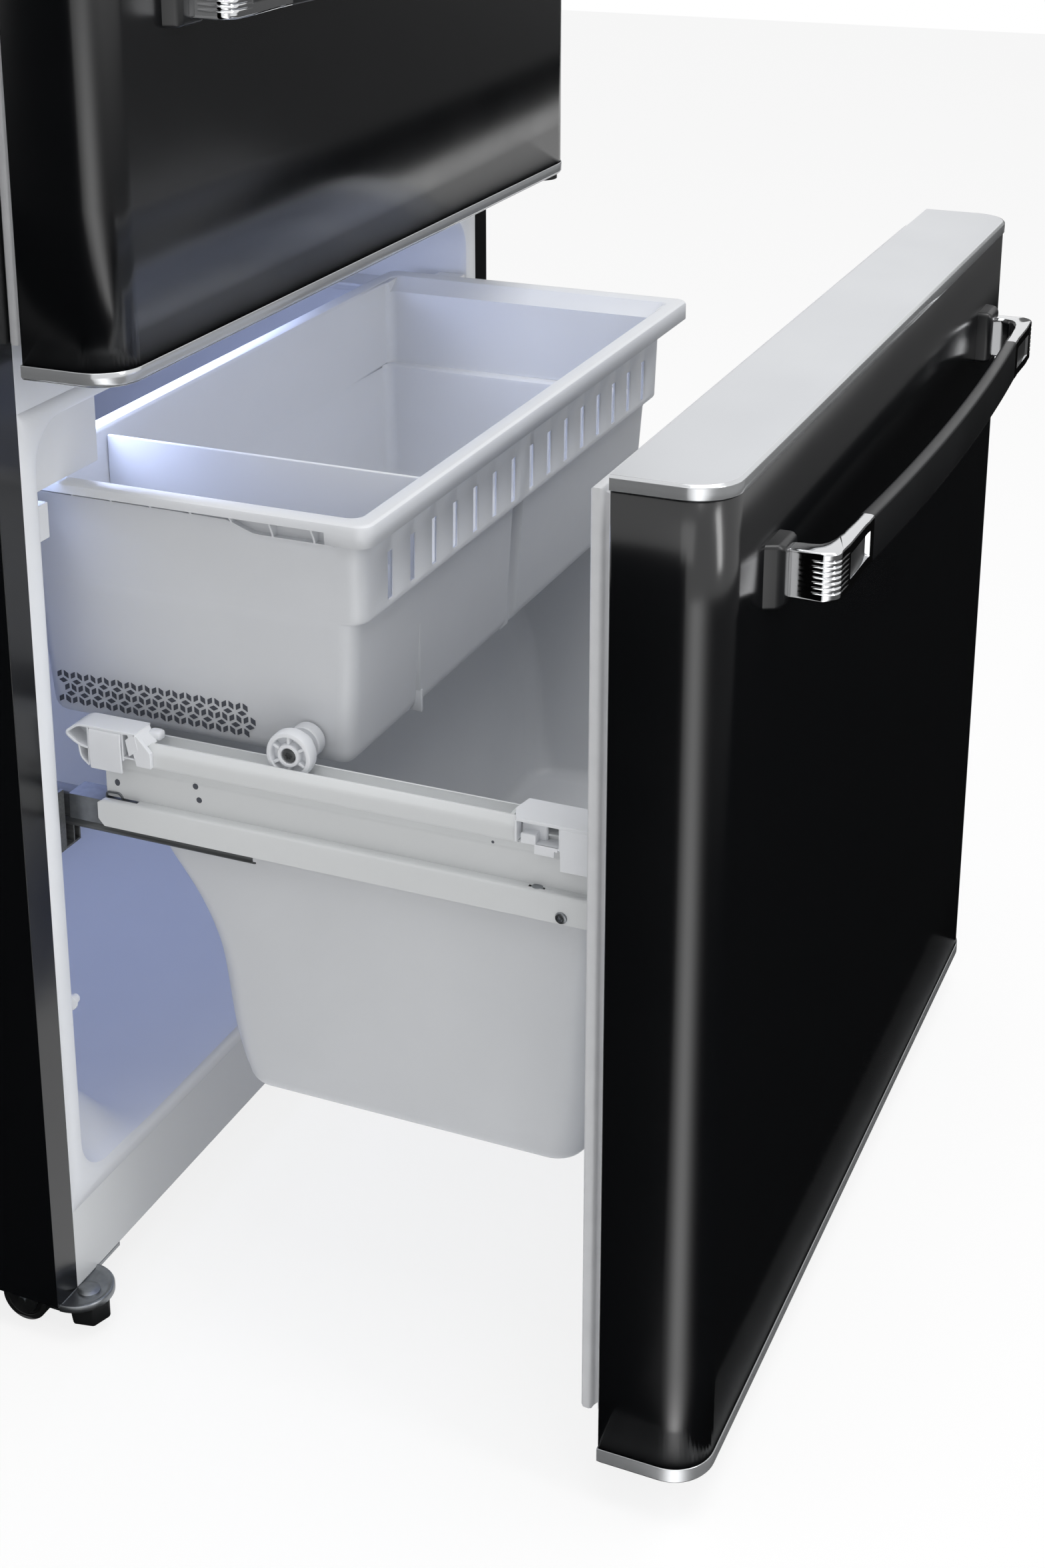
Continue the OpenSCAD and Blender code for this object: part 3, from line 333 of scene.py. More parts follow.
def both_sides(parts):
    """The parts of the right side with their mirror image."""
    return mirrored(parts, 1) + mirrored(parts, -1)


def piece(name, parts, kind, body, replaces=(), seam=35, kinds=(), face_kind=None):
    """Makes one object of parts in millimetres, smooth but for edges sharper than seam degrees.

    kinds are further finishes, and face_kind gives each face the number of its finish.
    """
    verts, faces = merge(parts)
    me = bpy.data.meshes.new(name)
    me.from_pydata((verts * MM).tolist(), [], faces)
    for k in (kind, *kinds):
        me.materials.append(finish(k))
    if face_kind is not None:
        me.polygons.foreach_set("material_index", np.asarray(face_kind, np.int32))
    me.polygons.foreach_set("use_smooth", np.ones(len(me.polygons), bool))
    me.update()
    ob = bpy.data.objects.new(name, me)
    bpy.context.scene.collection.objects.link(ob)
    close_up(me)
    me.set_sharp_from_angle(angle=math.radians(seam))
    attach(ob, body)
    if replaces:
        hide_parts(*replaces)
    return ob


def close_up(me):
    """Merges doubles and turns every face outwards."""
    bm = bmesh.new()
    bm.from_mesh(me)
    bmesh.ops.remove_doubles(bm, verts=bm.verts, dist=2e-6)
    bmesh.ops.recalc_face_normals(bm, faces=bm.faces)
    bm.to_mesh(me)
    bm.free()


def turn_sheet(ob, outwards=True):
    """Turns an open sheet's faces away from the middle of its points, or for outwards False towards it."""
    me = ob.data
    middle = np.mean([v.co for v in me.vertices], 0)
    flow = sum((np.array(f.center) - middle) @ np.array(f.normal) * f.area for f in me.polygons)
    if (flow > 0) != outwards:
        me.flip_normals()


def wall(ob, thickness):
    """Gives a single sheet its thickness in millimetres, behind its faces."""
    solid = ob.modifiers.new("wall", "SOLIDIFY")
    solid.thickness, solid.offset = thickness * MM, -1
    solid.use_even_offset = True


def round_edges(ob, width, angle, flat_light=False):
    """Bevels edges sharper than angle by width millimetres; flat_light keeps flat faces evenly lit."""
    bevel = ob.modifiers.new("edge", "BEVEL")
    bevel.width, bevel.segments, bevel.limit_method = width * MM, 2, "ANGLE"
    bevel.angle_limit = math.radians(angle)
    bevel.use_clamp_overlap = True
    bevel.harden_normals = flat_light


def softened(name, kind, width):
    """A merged copy of a frame node with flat faces joined and its edges rounded by a bevel of that width."""
    node = frame["nodes"][name]
    me = node.data.copy()
    me.name = name + "_soft"
    bm = bmesh.new()
    bm.from_mesh(me)
    bmesh.ops.remove_doubles(bm, verts=bm.verts, dist=5e-6)
    flat = math.radians(0.6)
    bmesh.ops.dissolve_limit(bm, angle_limit=flat, verts=bm.verts, edges=bm.edges, delimit={"NORMAL"})
    bm.to_mesh(me)
    bm.free()
    me.polygons.foreach_set("use_smooth", np.ones(len(me.polygons), bool))
    me.set_sharp_from_angle(angle=math.radians(30))
    ob = bpy.data.objects.new(name + "_finished", me)
    bpy.context.scene.collection.objects.link(ob)
    paint(ob, kind)
    if width:
        round_edges(ob, width, 40, True)
    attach(ob, node["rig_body"])
    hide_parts(name)


def paint(ob, kind):
    """Gives an object its one finish, its shape as it is."""
    ob.data.materials.clear()
    ob.data.materials.append(finish(kind))
    ob.data.polygons.foreach_set("material_index", np.zeros(len(ob.data.polygons), np.int32))


def weave(rows, cols, close_rows=False, close_cols=False):
    """Quads of a rows by cols grid of points; a closed way joins its last line of points to its first."""
    r = np.arange(rows if close_rows else rows - 1)
    c = np.arange(cols if close_cols else cols - 1)
    i, j = np.meshgrid(r, c, indexing="ij")
    i2, j2 = (i + 1) % rows, (j + 1) % cols
    return np.stack([i * cols + j, i2 * cols + j, i2 * cols + j2, i * cols + j2], -1).reshape(-1, 4).tolist()


def tube(rings):
    """A stack of closed rings, rows by cols, with its first and last ring filled."""
    rings = np.asarray(rings, float)
    rows, cols = rings.shape[:2]
    last = range(rows * cols - 1, (rows - 1) * cols - 1, -1)
    return rings, [*weave(rows, cols, close_cols=True), list(range(cols)), list(last)]


def rounded(half_w, half_h, r, steps=8):
    """Points of a rounded rectangle about the origin: four quarter circles of radius r and straight sides."""
    r = max(min(r, half_w - 1e-3, half_h - 1e-3), 1e-3)
    a = np.linspace(0, np.pi / 2, steps)
    out = []
    for k, (sx, sy) in enumerate(((1, 1), (-1, 1), (-1, -1), (1, -1))):
        t = a + k * np.pi / 2
        out.append(np.stack([sx * (half_w - r) + r * np.cos(t), sy * (half_h - r) + r * np.sin(t)], -1))
    return np.concatenate(out)


def slab(x0, x1, y0, y1, z0, z1, r, axis=2):
    """A block with rounded edges: rounded rectangles across axis, with quarter-rounds at both ends."""
    lo, hi = np.array([x0, y0, z0], float), np.array([x1, y1, z1], float)
    a, b = [k for k in range(3) if k != axis]
    mid, half = (lo + hi) / 2, (hi - lo) / 2
    r = min(r, *(half * 0.98))
    t = np.linspace(0, np.pi / 2, 4)
    inset = np.concatenate([r * (1 - np.sin(t)), r * (1 - np.cos(t))])
    level = np.concatenate([lo[axis] + r * (1 - np.cos(t)), hi[axis] - r * (1 - np.sin(t))])
    rings = []
    for d, h in zip(inset, level):
        q = rounded(half[a] - d, half[b] - d, r, 5)
        ring = np.zeros((len(q), 3))
        ring[:, a], ring[:, b], ring[:, axis] = q[:, 0] + mid[a], q[:, 1] + mid[b], h
        rings.append(ring)
    return tube(rings)


def turned(profile, centre, axis=0, sides=40, turn=1, lobes=1, bored=False):
    """A body of revolution: each (radius, height) of the profile makes a circle about axis through centre.

    turn -1 runs the heights backwards, lobes multiplies the radius at each point, and bored closes the
    profile on itself instead of filling its first and last circle.
    """
    t = np.linspace(0, 2 * np.pi, sides, endpoint=False)
    prof = np.array(profile, float)
    a, b = [k for k in range(3) if k != axis]
    p = np.zeros((len(prof), sides, 3))
    p[..., a] = prof[:, :1] * lobes * np.cos(t) + centre[a]
    p[..., b] = prof[:, :1] * lobes * np.sin(t) + centre[b]
    p[..., axis] = prof[:, 1:] * turn + centre[axis]
    return (p, weave(len(prof), sides, True, True)) if bored else tube(p)


def bent(path, radius):
    """The path with each corner swapped for a quadratic curve between the points radius away from it."""
    p = np.array(path, float)
    t = np.linspace(0, 1, 5)[:, None]
    out = [p[:1]]
    for a, b, c in zip(p, p[1:], p[2:]):
        before, after = np.linalg.norm(a - b), np.linalg.norm(c - b)
        r = min(radius, before / 2.1, after / 2.1)
        start, stop = b + (a - b) / before * r, b + (c - b) / after * r
        out.append((1 - t) ** 2 * start + 2 * t * (1 - t) * b + t**2 * stop)
    return np.concatenate([*out, p[-1:]])


def carried(ring, lo, hi, axis):
    """A closed outline across axis, carried straight from lo to hi and filled at both ends."""
    q = np.array(ring, float)
    a, b = [k for k in range(3) if k != axis]
    p = np.zeros((2, len(q), 3))
    p[..., a], p[..., b], p[..., axis] = q[:, 0], q[:, 1], [[lo], [hi]]
    return tube(p)


def folded(path, lo, hi, axis=1, thickness=1.5, radius=2.0):
    """A folded sheet: its middle line with rounded corners, set off by half its thickness both ways."""
    line = bent(path, radius)
    step = np.gradient(line, axis=0)
    n = np.stack([-step[:, 1], step[:, 0]], -1) / np.linalg.norm(step, axis=1, keepdims=True) * thickness / 2
    return carried(np.concatenate([line + n, (line - n)[::-1]]), lo, hi, axis)


def screw(centre, turn, radius, height):
    """Pan head along x: a dome of revolution whose six-lobed socket sinks along r = r0 (1 + 0.16 cos 6t)."""
    sides = 48
    t = np.linspace(0, 2 * np.pi, sides, endpoint=False)
    dome = [(radius, 0), (radius, height * 0.35), (radius * 0.9, height * 0.8), (radius * 0.68, height)]
    socket = [(radius * 0.46, height), (radius * 0.43, height * 0.25)]
    lobes = np.where(np.arange(6)[:, None] < len(dome), 1, 1 + 0.16 * np.cos(6 * t))
    return turned(dome + socket, centre, 0, sides, turn, lobes)


# Door fronts

def front_plan(front, grow=0.0, lip=0.0):
    """Plan of a front from its right back edge round both front corners to its left back edge.

    Straight sides joined by quarter circles of the corner radius plus grow; lip adds a bent return flange.
    """
    lo, hi = ends(front + "_skin")
    w, yf, yb = (hi[0] - lo[0]) / 2 + grow, lo[1] - grow, hi[1]
    r = bpy.context.scene.fridge_fronts.corner_radius / MM + grow
    a = np.linspace(0, np.pi / 2, 14)
    corner = np.stack([w - r + r * np.cos(a), yf + r - r * np.sin(a)], -1)
    start = np.array([[w, yb]])
    if lip:
        bend = 2
        t = np.linspace(0, np.pi / 2, 5)
        turn = np.stack([w - bend + bend * np.sin(t), yb - bend + bend * np.cos(t)], -1)
        start = np.concatenate([[[w - lip, yb]], turn])
    half = np.concatenate([start, corner])
    return np.concatenate([half, half[::-1] * [-1, 1]])


def sheet_front(front):
    """The wrapped outer sheet: its plan carried straight up from trim to cap, then given its thickness."""
    lo, hi = ends(front + "_skin")
    plan = front_plan(front, lip=12)
    z = np.linspace(lo[2], hi[2], 9)
    p = np.zeros((len(z), len(plan), 3))
    p[..., 0], p[..., 1], p[..., 2] = plan[:, 0], plan[:, 1], z[:, None]
    sheet = [(p, weave(len(z), len(plan)))]
    ob = piece(front + "_sheet", sheet, "enamel", front, [front + "_skin"])
    turn_sheet(ob)
    wall(ob, 1.2)


def rim_profile(height, edge):
    """Outline of a cap as (inset, level), from its skirt up the band and round the edge to the flat."""
    t = np.linspace(0, np.pi / 2, 7)
    band = np.array([[0.35, 0.0], [0.0, 0.5], [0.0, height * 0.45]])
    turn = np.stack([edge * (1 - np.cos(t)), height - edge + edge * np.sin(t)], -1)
    chamfer = np.linspace(0.1, 0.9, len(t) - 4)[:, None]
    turn[2:-2] = turn[1] + (turn[-2] - turn[1]) * chamfer
    return np.concatenate([band, turn])


def pressed_cap(front, part, height, edge, flat_kind):
    """A pressing over the front's plan, closed straight across the back.

    Its band and edge follow rim_profile and its flat closes it, on top for a cap and below for a trim.
    """
    up = part == "cap"
    node = front + "_" + part
    lo, hi = ends(node)
    profile = rim_profile(height, edge)
    if not up:
        profile = (profile * [1, -1] + [0, height])[::-1]
    base = hi[2] - height if up else lo[2]
    rings = []
    for inset, level in profile:
        q = front_plan(front, grow=1.2 - inset)
        rings.append(np.column_stack([q, np.full(len(q), base + level)]))
    rows, cols = len(rings), len(rings[0])
    sides = weave(rows, cols, close_cols=True)
    flat = [(rows - 1) * cols + k for k in range(cols)] if up else list(range(cols))[::-1]
    face_kind = [0] * len(sides) + [1]
    pressing = [(rings, [*sides, flat])]
    ob = piece(node + "_pressing", pressing, "trim", front, [node], 50, [flat_kind], face_kind)
    wall(ob, 1.0)


def hinge_bushes():
    """Steel bushes round the hinge pin at both ends of the upper door: outer radius 9 mm, bore 4.1 mm."""
    outer, bore, length, gap = 9.0, 4.1, 16.8, 1.2
    pin = (394.0, DOOR_BACK - 30.0, 0.0)
    top, bottom = ends("upper_door_cap")[1][2], ends("upper_door_trim")[0][2]
    parts = []
    for z in (top - gap - length, bottom + gap):
        ring = [(bore, z), (outer, z), (outer, z + length), (bore, z + length)]
        parts.append(turned(ring, pin, 2, 32, bored=True))
    piece("hinge_bushes", parts, "zinc", "upper_door")


def seal_ring(front):
    """Magnetic seal: a profile of foot, waist and double-ridged head carried round a mitred rectangle."""
    lo, hi = ends(front + "_gasket")
    d, w = hi[1] - lo[1], 19.0
    outer = [(0.3, 0.0), (0, 0.6), (0.2, 3.6), (1.6, 4.8), (4.2, 5.4), (3.4, 6.8), (2.2, 8.2), (0.5, 9.4),
             (0, 11.5)]
    first_ridge = [(0.2, d - 2.2), (1.4, d - 0.7), (3.4, d), (5.4, d - 0.8), (6.9, d - 2.6), (8.2, d - 3.4)]
    second_ridge = [(9.6, d - 2.6), (11.2, d - 0.8), (13.6, d), (16, d - 0.4), (18.2, d - 1.6), (w, d - 3.2)]
    inner = [(w - 0.2, 9.8), (w - 2, 8.4), (w - 5.5, 7.4), (w - 6.5, 5.8), (w - 4, 4.9), (w - 0.6, 4.2),
             (w, 2.5)]
    foot = [(w, 0.4), (w - 0.5, 0.0)]
    profile = np.array(outer + first_ridge + second_ridge + inner + foot)
    half, mid = (hi - lo) / 2, (hi + lo) / 2
    mitre = np.array([[1, 1], [-1, 1], [-1, -1], [1, -1]])
    p = np.zeros((len(profile), 4, 3))
    p[..., 0] = mid[0] + mitre[:, 0] * (half[0] - profile[:, :1])
    p[..., 1] = lo[1] + profile[:, 1:]
    p[..., 2] = mid[2] + mitre[:, 1] * (half[2] - profile[:, :1])
    ring = [(p, weave(len(profile), 4, True, True))]
    piece(front + "_seal", ring, "seal", front, [front + "_gasket"], seam=50)


# Handles

def grip_place(front):
    """The y of the front's face and the z of the handle's middle."""
    lo, hi = ends(GRIPS[front] + "_bar")
    return hi[1], (lo[2] + hi[2]) / 2


def bowed_bar(front):
    """Handle bar: a rounded section carried along a shallow parabola, with its two posts."""
    p = bpy.context.scene.fridge_handles
    face, zc = grip_place(front)
    half = p.bar_length / MM / 2
    x = np.linspace(-half, half, 49)
    bow = p.bow / MM * (1 - (x / half) ** 2)
    section = rounded(p.thickness / MM / 2, p.height / MM / 2, 2.6, 7)
    bar = np.zeros((len(x), len(section), 3))
    bar[..., 0] = x[:, None]
    bar[..., 1] = (face - p.reach / MM - bow + p.thickness / MM / 2)[:, None] + section[:, 0]
    bar[..., 2] = zc + section[:, 1]
    post_x = 310.0
    parts = [tube(bar), post(-post_x, face, zc), post(post_x, face, zc)]
    piece(front + "_bar", parts, "bar", front, [GRIPS[front] + "_bar"], seam=40)


def post(x, face, zc):
    """Foot of the handle: a rounded block 36 by 44 mm whose outer edge is chamfered towards the door."""
    side = np.sign(x)
    rings = []
    for depth, grow in ((0.0, 0.0), (7.0, 0.0), (9.0, -0.3), (11.2, -1.6), (11.9, -2.8)):
        q = rounded(18 + grow, 22 + grow, 3.0, 6)
        chamfer = np.where(side * q[:, 0] > 10, depth * 0.45, 0.0)
        level = np.full(len(q), face - depth)
        rings.append(np.column_stack([x + q[:, 0] - side * chamfer, level, zc + q[:, 1]]))
    return tube(rings)


def fitting(front, side):
    """Chrome end of the handle as a lofted arm, with the finish of each face: 1 for the dark window.

    Two plan curves, outer and inner, are joined at each station by a rounded section. The front face dips by
    3 mm in a window, and seven grooves 3.6 mm apart, each a raised cosine, run round the outer corner.
    """
    face, zc = grip_place(front)
    half_height, edge, corner_radius = 17.0, 2.4, 11.0
    a = np.linspace(0, np.pi / 2, 22)
    ox = np.concatenate([[230.0, 234, 238, 239.6, 240.4], np.linspace(245, 280, 8), [284.6, 285.4, 289],
                         [295.5], 302 + corner_radius * np.sin(a), np.full(4, 313.0)])
    oy = np.concatenate([[45.5, 45.45, 45.4, 45.4, 45.4], np.full(8, 45.0), [44.9, 44.9, 44.7, 44.3],
                         33 + corner_radius * np.cos(a), [30.0, 25.0, 18.0, 12.0]])
    n = len(ox)
    along = np.linspace(0, 1, n)
    stations = [0, 0.34, 0.5, 0.6, 0.7, 0.8, 1.0]
    ix = np.interp(along, stations, [230, 270, 282, 291, 296, 298, 298])
    iy = np.interp(along, stations, [35.6, 35, 33.5, 30.5, 26.5, 20, 12])
    outer, inner = np.stack([ox, oy], -1), np.stack([ix, iy], -1)
    across = inner - outer
    across /= np.linalg.norm(across, axis=1)[:, None]

    def pulled(height):
        """How far the rounded edge stands back: r - sqrt(r^2 - d^2), d being the way into the edge."""
        d = np.clip(np.abs(height) - (half_height - edge), 0, edge)
        return edge - np.sqrt(np.maximum(edge**2 - d**2, 0))

    front_z, back_z = half_height * np.linspace(-1, 1, 97), half_height * np.linspace(1, -1, 25)
    window = (ox > 240.0) & (ox < 285.0) & (np.arange(n) < 17)
    dip = np.where(window[:, None] & (np.abs(front_z) < 8.6), 3.0, 0.0)
    corner = (np.arange(n) >= 16) & (ox >= 289) & (oy > 26)
    groove = 0.9 * np.where(np.abs(front_z) < 13.2, np.cos(np.pi * front_z / 3.6) ** 8, 0)
    depth = pulled(front_z) + dip + corner[:, None] * groove
    front_xy = outer[:, None] + across[:, None] * depth[..., None]
    back_xy = inner[:, None] - across[:, None] * pulled(back_z)[:, None]
    xy = np.concatenate([front_xy, back_xy], 1)
    p = np.zeros((*xy.shape[:2], 3))
    p[..., 0] = side * xy[..., 0]
    p[..., 1] = face - xy[..., 1]
    p[..., 2] = zc + np.concatenate([front_z, back_z])
    arm = tube(p)
    low = np.minimum(dip[:-1], dip[1:]) > 1
    dark = np.zeros((n - 1, p.shape[1]), int)
    dark[:, : len(front_z) - 1] = low[:, :-1] & low[:, 1:]
    kinds = np.zeros(len(arm[1]), int)
    kinds[: dark.size] = dark.ravel()
    return arm, kinds


def fittings(front):
    """Both chrome ends of a handle, left and right."""
    arms, kinds = zip(*[fitting(front, side) for side in SIDES])
    piece(front + "_fittings", arms, "chrome", front, [GRIPS[front] + "_fittings"],
          seam=32, kinds=["abs"], face_kind=np.concatenate(kinds))


# Roller basket

# Half its width, the height of its step, and the taper of its pocket on the left, in millimetres
BASKET_HALF = 333.5
BASKET_STEP = 114.0
BASKET_TAPER = 5.0


def container_ring(x0, x1, y0, y1, r, z, stations, pull=0.0, sides=()):
    """One level of a container: a rounded rectangle with extra points at the x stations of its front.

    pull moves each of the front's points back, and sides gives the y of extra points along both side walls.
    """
    a = np.linspace(0, np.pi / 2, 9)
    sides = np.clip(sides, y0 + r + 0.1 * np.arange(1, len(sides) + 1), y1 - r - 1)
    full = np.ones(len(sides))
    back = np.linspace(x1 - r, x0 + r, 9)[1:-1]
    q = [np.stack([x0 + r - r * np.cos(a), y0 + r - r * np.sin(a)], -1),
         np.stack([np.asarray(stations, float), y0 + np.zeros(len(stations)) + pull], -1),
         np.stack([x1 - r + r * np.sin(a), y0 + r - r * np.cos(a)], -1),
         np.stack([full * x1, sides], -1),
         np.stack([x1 - r + r * np.cos(a), y1 - r + r * np.sin(a)], -1),
         np.stack([back, np.full(len(back), float(y1))], -1),
         np.stack([x0 + r - r * np.sin(a), y1 - r + r * np.cos(a)], -1),
         np.stack([full * x0, sides[::-1]], -1)]
    q = np.concatenate(q)
    return np.column_stack([q, np.full(len(q), float(z))])


def basket_shell():
    """Basket wall, level by level, from the rounded bottom over step and ledge to the turned-down rim.

    The pocket and the band above it each taper linearly. The front's groove is pulled back by the smooth step
    3u^2 - 2u^3 at both edges. Slots are left open, and behind the front corners the sides' lip is 5 mm high.
    """
    p = bpy.context.scene.fridge_basket
    half = BASKET_HALF
    (_, y0, zb), (_, y1, zt) = ends("upper_basket")
    pitch, width, ledge = p.slot_pitch / MM, p.slot_width / MM, p.ledge / MM
    step = zb + BASKET_STEP
    left = (np.arange(p.slots) - (p.slots - 1) / 2) * pitch - (ledge + width) / 2
    groove_left, groove_right, groove_edge = -33, -11, 3
    u = np.linspace(0, 1, 5) * groove_edge
    groove = [groove_left + u, groove_right - groove_edge + u]
    stations = np.unique(np.concatenate([left, left + width, *groove]))
    rise = np.clip(np.minimum(stations - groove_left, groove_right - stations) / groove_edge, 0, 1)
    dent = rise**2 * (3 - 2 * rise)
    pocket = np.array([[-half + 21, half - 33 - ledge, y0 + 26, y1 - 20],
                       [-half + 16, half - 27 - ledge, y0 + 19, y1 - 14]])
    band = np.array([[-half + 16, half - 18 - ledge, y0 + 12, y1 - 14],
                     [-half + 12, half - 12 - ledge, y0 + 11, y1 - 11]])
    inwards = np.array([1, -1, 1, -1])
    corner = 13
    rows = []
    for k in np.linspace(np.pi / 2, 0, 7):
        d = corner * (1 - np.cos(k))
        rows.append((pocket[0] + d * inwards, max(corner - d, 0.6), zb + corner * (1 - np.sin(k)), 1))
    for z in (zb + 60, step - 7):
        rows.append((pocket[0] + (pocket[1] - pocket[0]) * (z - zb) / BASKET_STEP, corner, z, 1))
    for share, z in ((0, -5.6), (0, -2.2), (0.04, -1.0), (0.16, -0.2), (0.6, 0.1), (0.86, 0.5), (0.97, 1.3)):
        rows.append((pocket[1] + (band[0] - pocket[1]) * share, corner, step + z, 0))
    slot_bottom = step + 6
    slot_row = len(rows) + 1
    for z in (step + 2.6, slot_bottom, slot_bottom + p.slot_height / MM, zt - 18, zt - 10):
        rows.append((band[0] + (band[1] - band[0]) * (z - step) / (zt - step), 12, z, 0))
    ledge_row = len(rows) - 1
    top = np.array([-half + 12, half - 16, y0 + 11, y1 - 11])
    for grow, dz in ((0, 1.0), (0.5, 0.3), (1.4, 0.0)):
        rows.append((top - grow * inwards, 12 - grow / 2, zt - dz, 0))
    rim = np.array([-half, half, y0, y1])
    for inset, dz in ((1.6, 0.0), (0.9, 0.15), (0.35, 0.5), (0.05, 1.2), (0.0, 4.9), (0.0, 13.9)):
        rows.append((rim + inset * inwards, 9.5 - inset, zt - dz, 0))
    pulls = [(y0 + 32 - edges[2]) * dent * grooved for edges, _, _, grooved in rows]
    lip_start = (y0 + 30.8, y0 + 31.2)
    rings = np.array([container_ring(*edges, r, z, stations, pull, lip_start)
                      for (edges, r, z, _), pull in zip(rows, pulls)])
    rim_edge = rings[-1]
    thin = (np.abs(rim_edge[:, 0]) > half - 1) & (rim_edge[:, 1] > y0 + 31)
    rim_edge[thin, 2] = zt - 5.0
    rings[ledge_row, :, 2] = np.where(rings[ledge_row, :, 0] > half - 40, zt - 10, zt - 1.8)
    cols = rings.shape[1]
    faces = np.array(weave(len(rings), cols, close_cols=True)).reshape(len(rings) - 1, cols, 4)
    x, place = rings[0, :, 0], np.arange(cols)
    middle = (x + np.roll(x, -1)) / 2
    in_slot = np.any((middle[:, None] > left) & (middle[:, None] < left + width), 1)
    keep = np.ones(faces.shape[:2], bool)
    keep[slot_row, in_slot & (place >= 9) & (place < 8 + len(stations))] = False
    shell = [(rings, [*faces[keep].tolist(), list(range(cols))])]
    ob = piece("basket_shell", shell, "basket", "basket", ["upper_basket"], seam=32)
    turn_sheet(ob)
    wall(ob, 2.4)


def wheel_axis():
    """The y and z of the basket wheels' axis."""
    lo, hi = ends("basket_wheel_left")
    return (lo[1] + hi[1]) / 2, (lo[2] + hi[2]) / 2


def basket_fin(half, y0, zt):
    """Fin under the left rim that rises behind the second rib, and the S-shaped ribs that it closes below.

    Each rib's edge stands back by 7.6 - 6 (3u^2 - 2u^3) millimetres, u being the share of its height.
    """
    y = np.array([29, 60, 86, 92, 100, 108, 114, 160, 220, 288]) + y0
    z = zt - np.array([19, 19, 19, 18.6, 16, 12.8, 11.4, 11, 11, 11])
    root, tip, thickness = 13.5, 7.4, 1.1
    path = np.zeros((len(y), 4, 3))
    path[..., 0] = -half + np.array([root, tip, tip, root])
    path[..., 1] = y[:, None]
    path[..., 2] = z[:, None] + np.array([0, 0, thickness, thickness])
    parts = [tube(path)]
    for k in range(7):
        rib_y = y0 + 43 + k * 32.7
        rib_z, rib_top = np.interp(rib_y, y, z), zt - 3.5
        u = np.linspace(0, 1, 9)
        edge = np.column_stack([-half + 7.6 - 6 * (3 * u**2 - 2 * u**3), rib_z + (rib_top - rib_z) * u])
        outline = np.concatenate([edge, [[-half + root, rib_top], [-half + root, rib_z]]])
        parts.append(carried(outline, rib_y, rib_y + 1.5, 1))
        parts.append(slab(half - 15, half - 3, rib_y, rib_y + 1.5, zt - 12.5, zt - 3, 0.4))
    return parts


def basket_fittings():
    """Fin and ribs under the rim, the ice divider, wheel bosses, axles and their screw heads."""
    (_, y0, zb), (_, y1, zt) = ends("upper_basket")
    half = BASKET_HALF
    wy, wz = wheel_axis()
    parts = basket_fin(half, y0, zt)
    for k in range(12):
        x = -300 + k * 54
        parts.append(slab(x, x + 1.6, y0 + 2.4, y0 + 11.5, zt - 12.5, zt - 3, 0.4))
    divider = (-205.5, -202.5)
    parts.append(slab(*divider, y0 + 21, y1 - 22, zb + 2, zb + 20, 0.6))
    parts.append(slab(*divider, y0 + 21.5, y1 - 16, zb + 19, zb + 117, 0.3))
    parts.append(slab(*divider, y0 + 13.5, y1 - 15, zb + 116, zt - 5, 1.2))
    left_boss = [(13, 0), (13, 8.5), (12.2, 9.5), (9.2, 9.7), (9, 18.6), (7, 20.2), (3, 20.2), (3, 29.5)]
    right_boss = [(13, 0), (13, 34), (9, 34.5), (9, 41.6), (7, 43.2), (3, 43.2), (3, 52.5)]
    parts.append(turned(left_boss, (17.5 - half, wy, wz), turn=-1))
    parts.append(turned(right_boss, (half - 40.5, wy, wz)))
    piece("basket_ribs_and_bosses", parts, "basket", "basket")
    heads = [screw((side * 345.3, wy, wz), side, 5.3, 2.2) for side in SIDES]
    piece("basket_axle_screws", heads, "dark", "basket")


def cube_lattice():
    """Painted shade of vents in the basket's left wall: dark rhombi of 6.8 mm side, three about each lattice
    point.

    The lowest row leaves out the rhombus below its points.
    """
    (_, y0, zb), _ = ends("upper_basket")
    side, filled = 6.8, 0.62
    inner, outer = 0.9, -0.1
    arms = np.array([[math.cos(t), math.sin(t)] for t in np.radians([90, 210, 330])])
    rhombi = ((0, 1), (1, 2), (2, 0))
    parts = []
    for row, shown in enumerate((rhombi, rhombi, (rhombi[0], rhombi[2]))):
        for col in range(14):
            y = y0 + 113.8 + (col - (row % 2) / 2) * side * math.sqrt(3)
            centre = np.array([y, zb + 33 - row * side * 1.5])
            for m, n in shown:
                a, b = arms[m] * side, arms[n] * side
                quad = np.array([0 * a, a, a + b, b])
                middle = quad.mean(0)
                q = centre + middle + (quad - middle) * filled
                wall_x = BASKET_HALF - 21 + (q[:, 1] - zb) * BASKET_TAPER / BASKET_STEP
                parts.append(tube([np.column_stack([-wall_x + d, q]) for d in (inner, outer)]))
    # The rhombi are painted shade: thin grey plates that stand for the dark inside of the vents.
    piece("basket_vent_shade", parts, "hole_shade", "basket", seam=30)


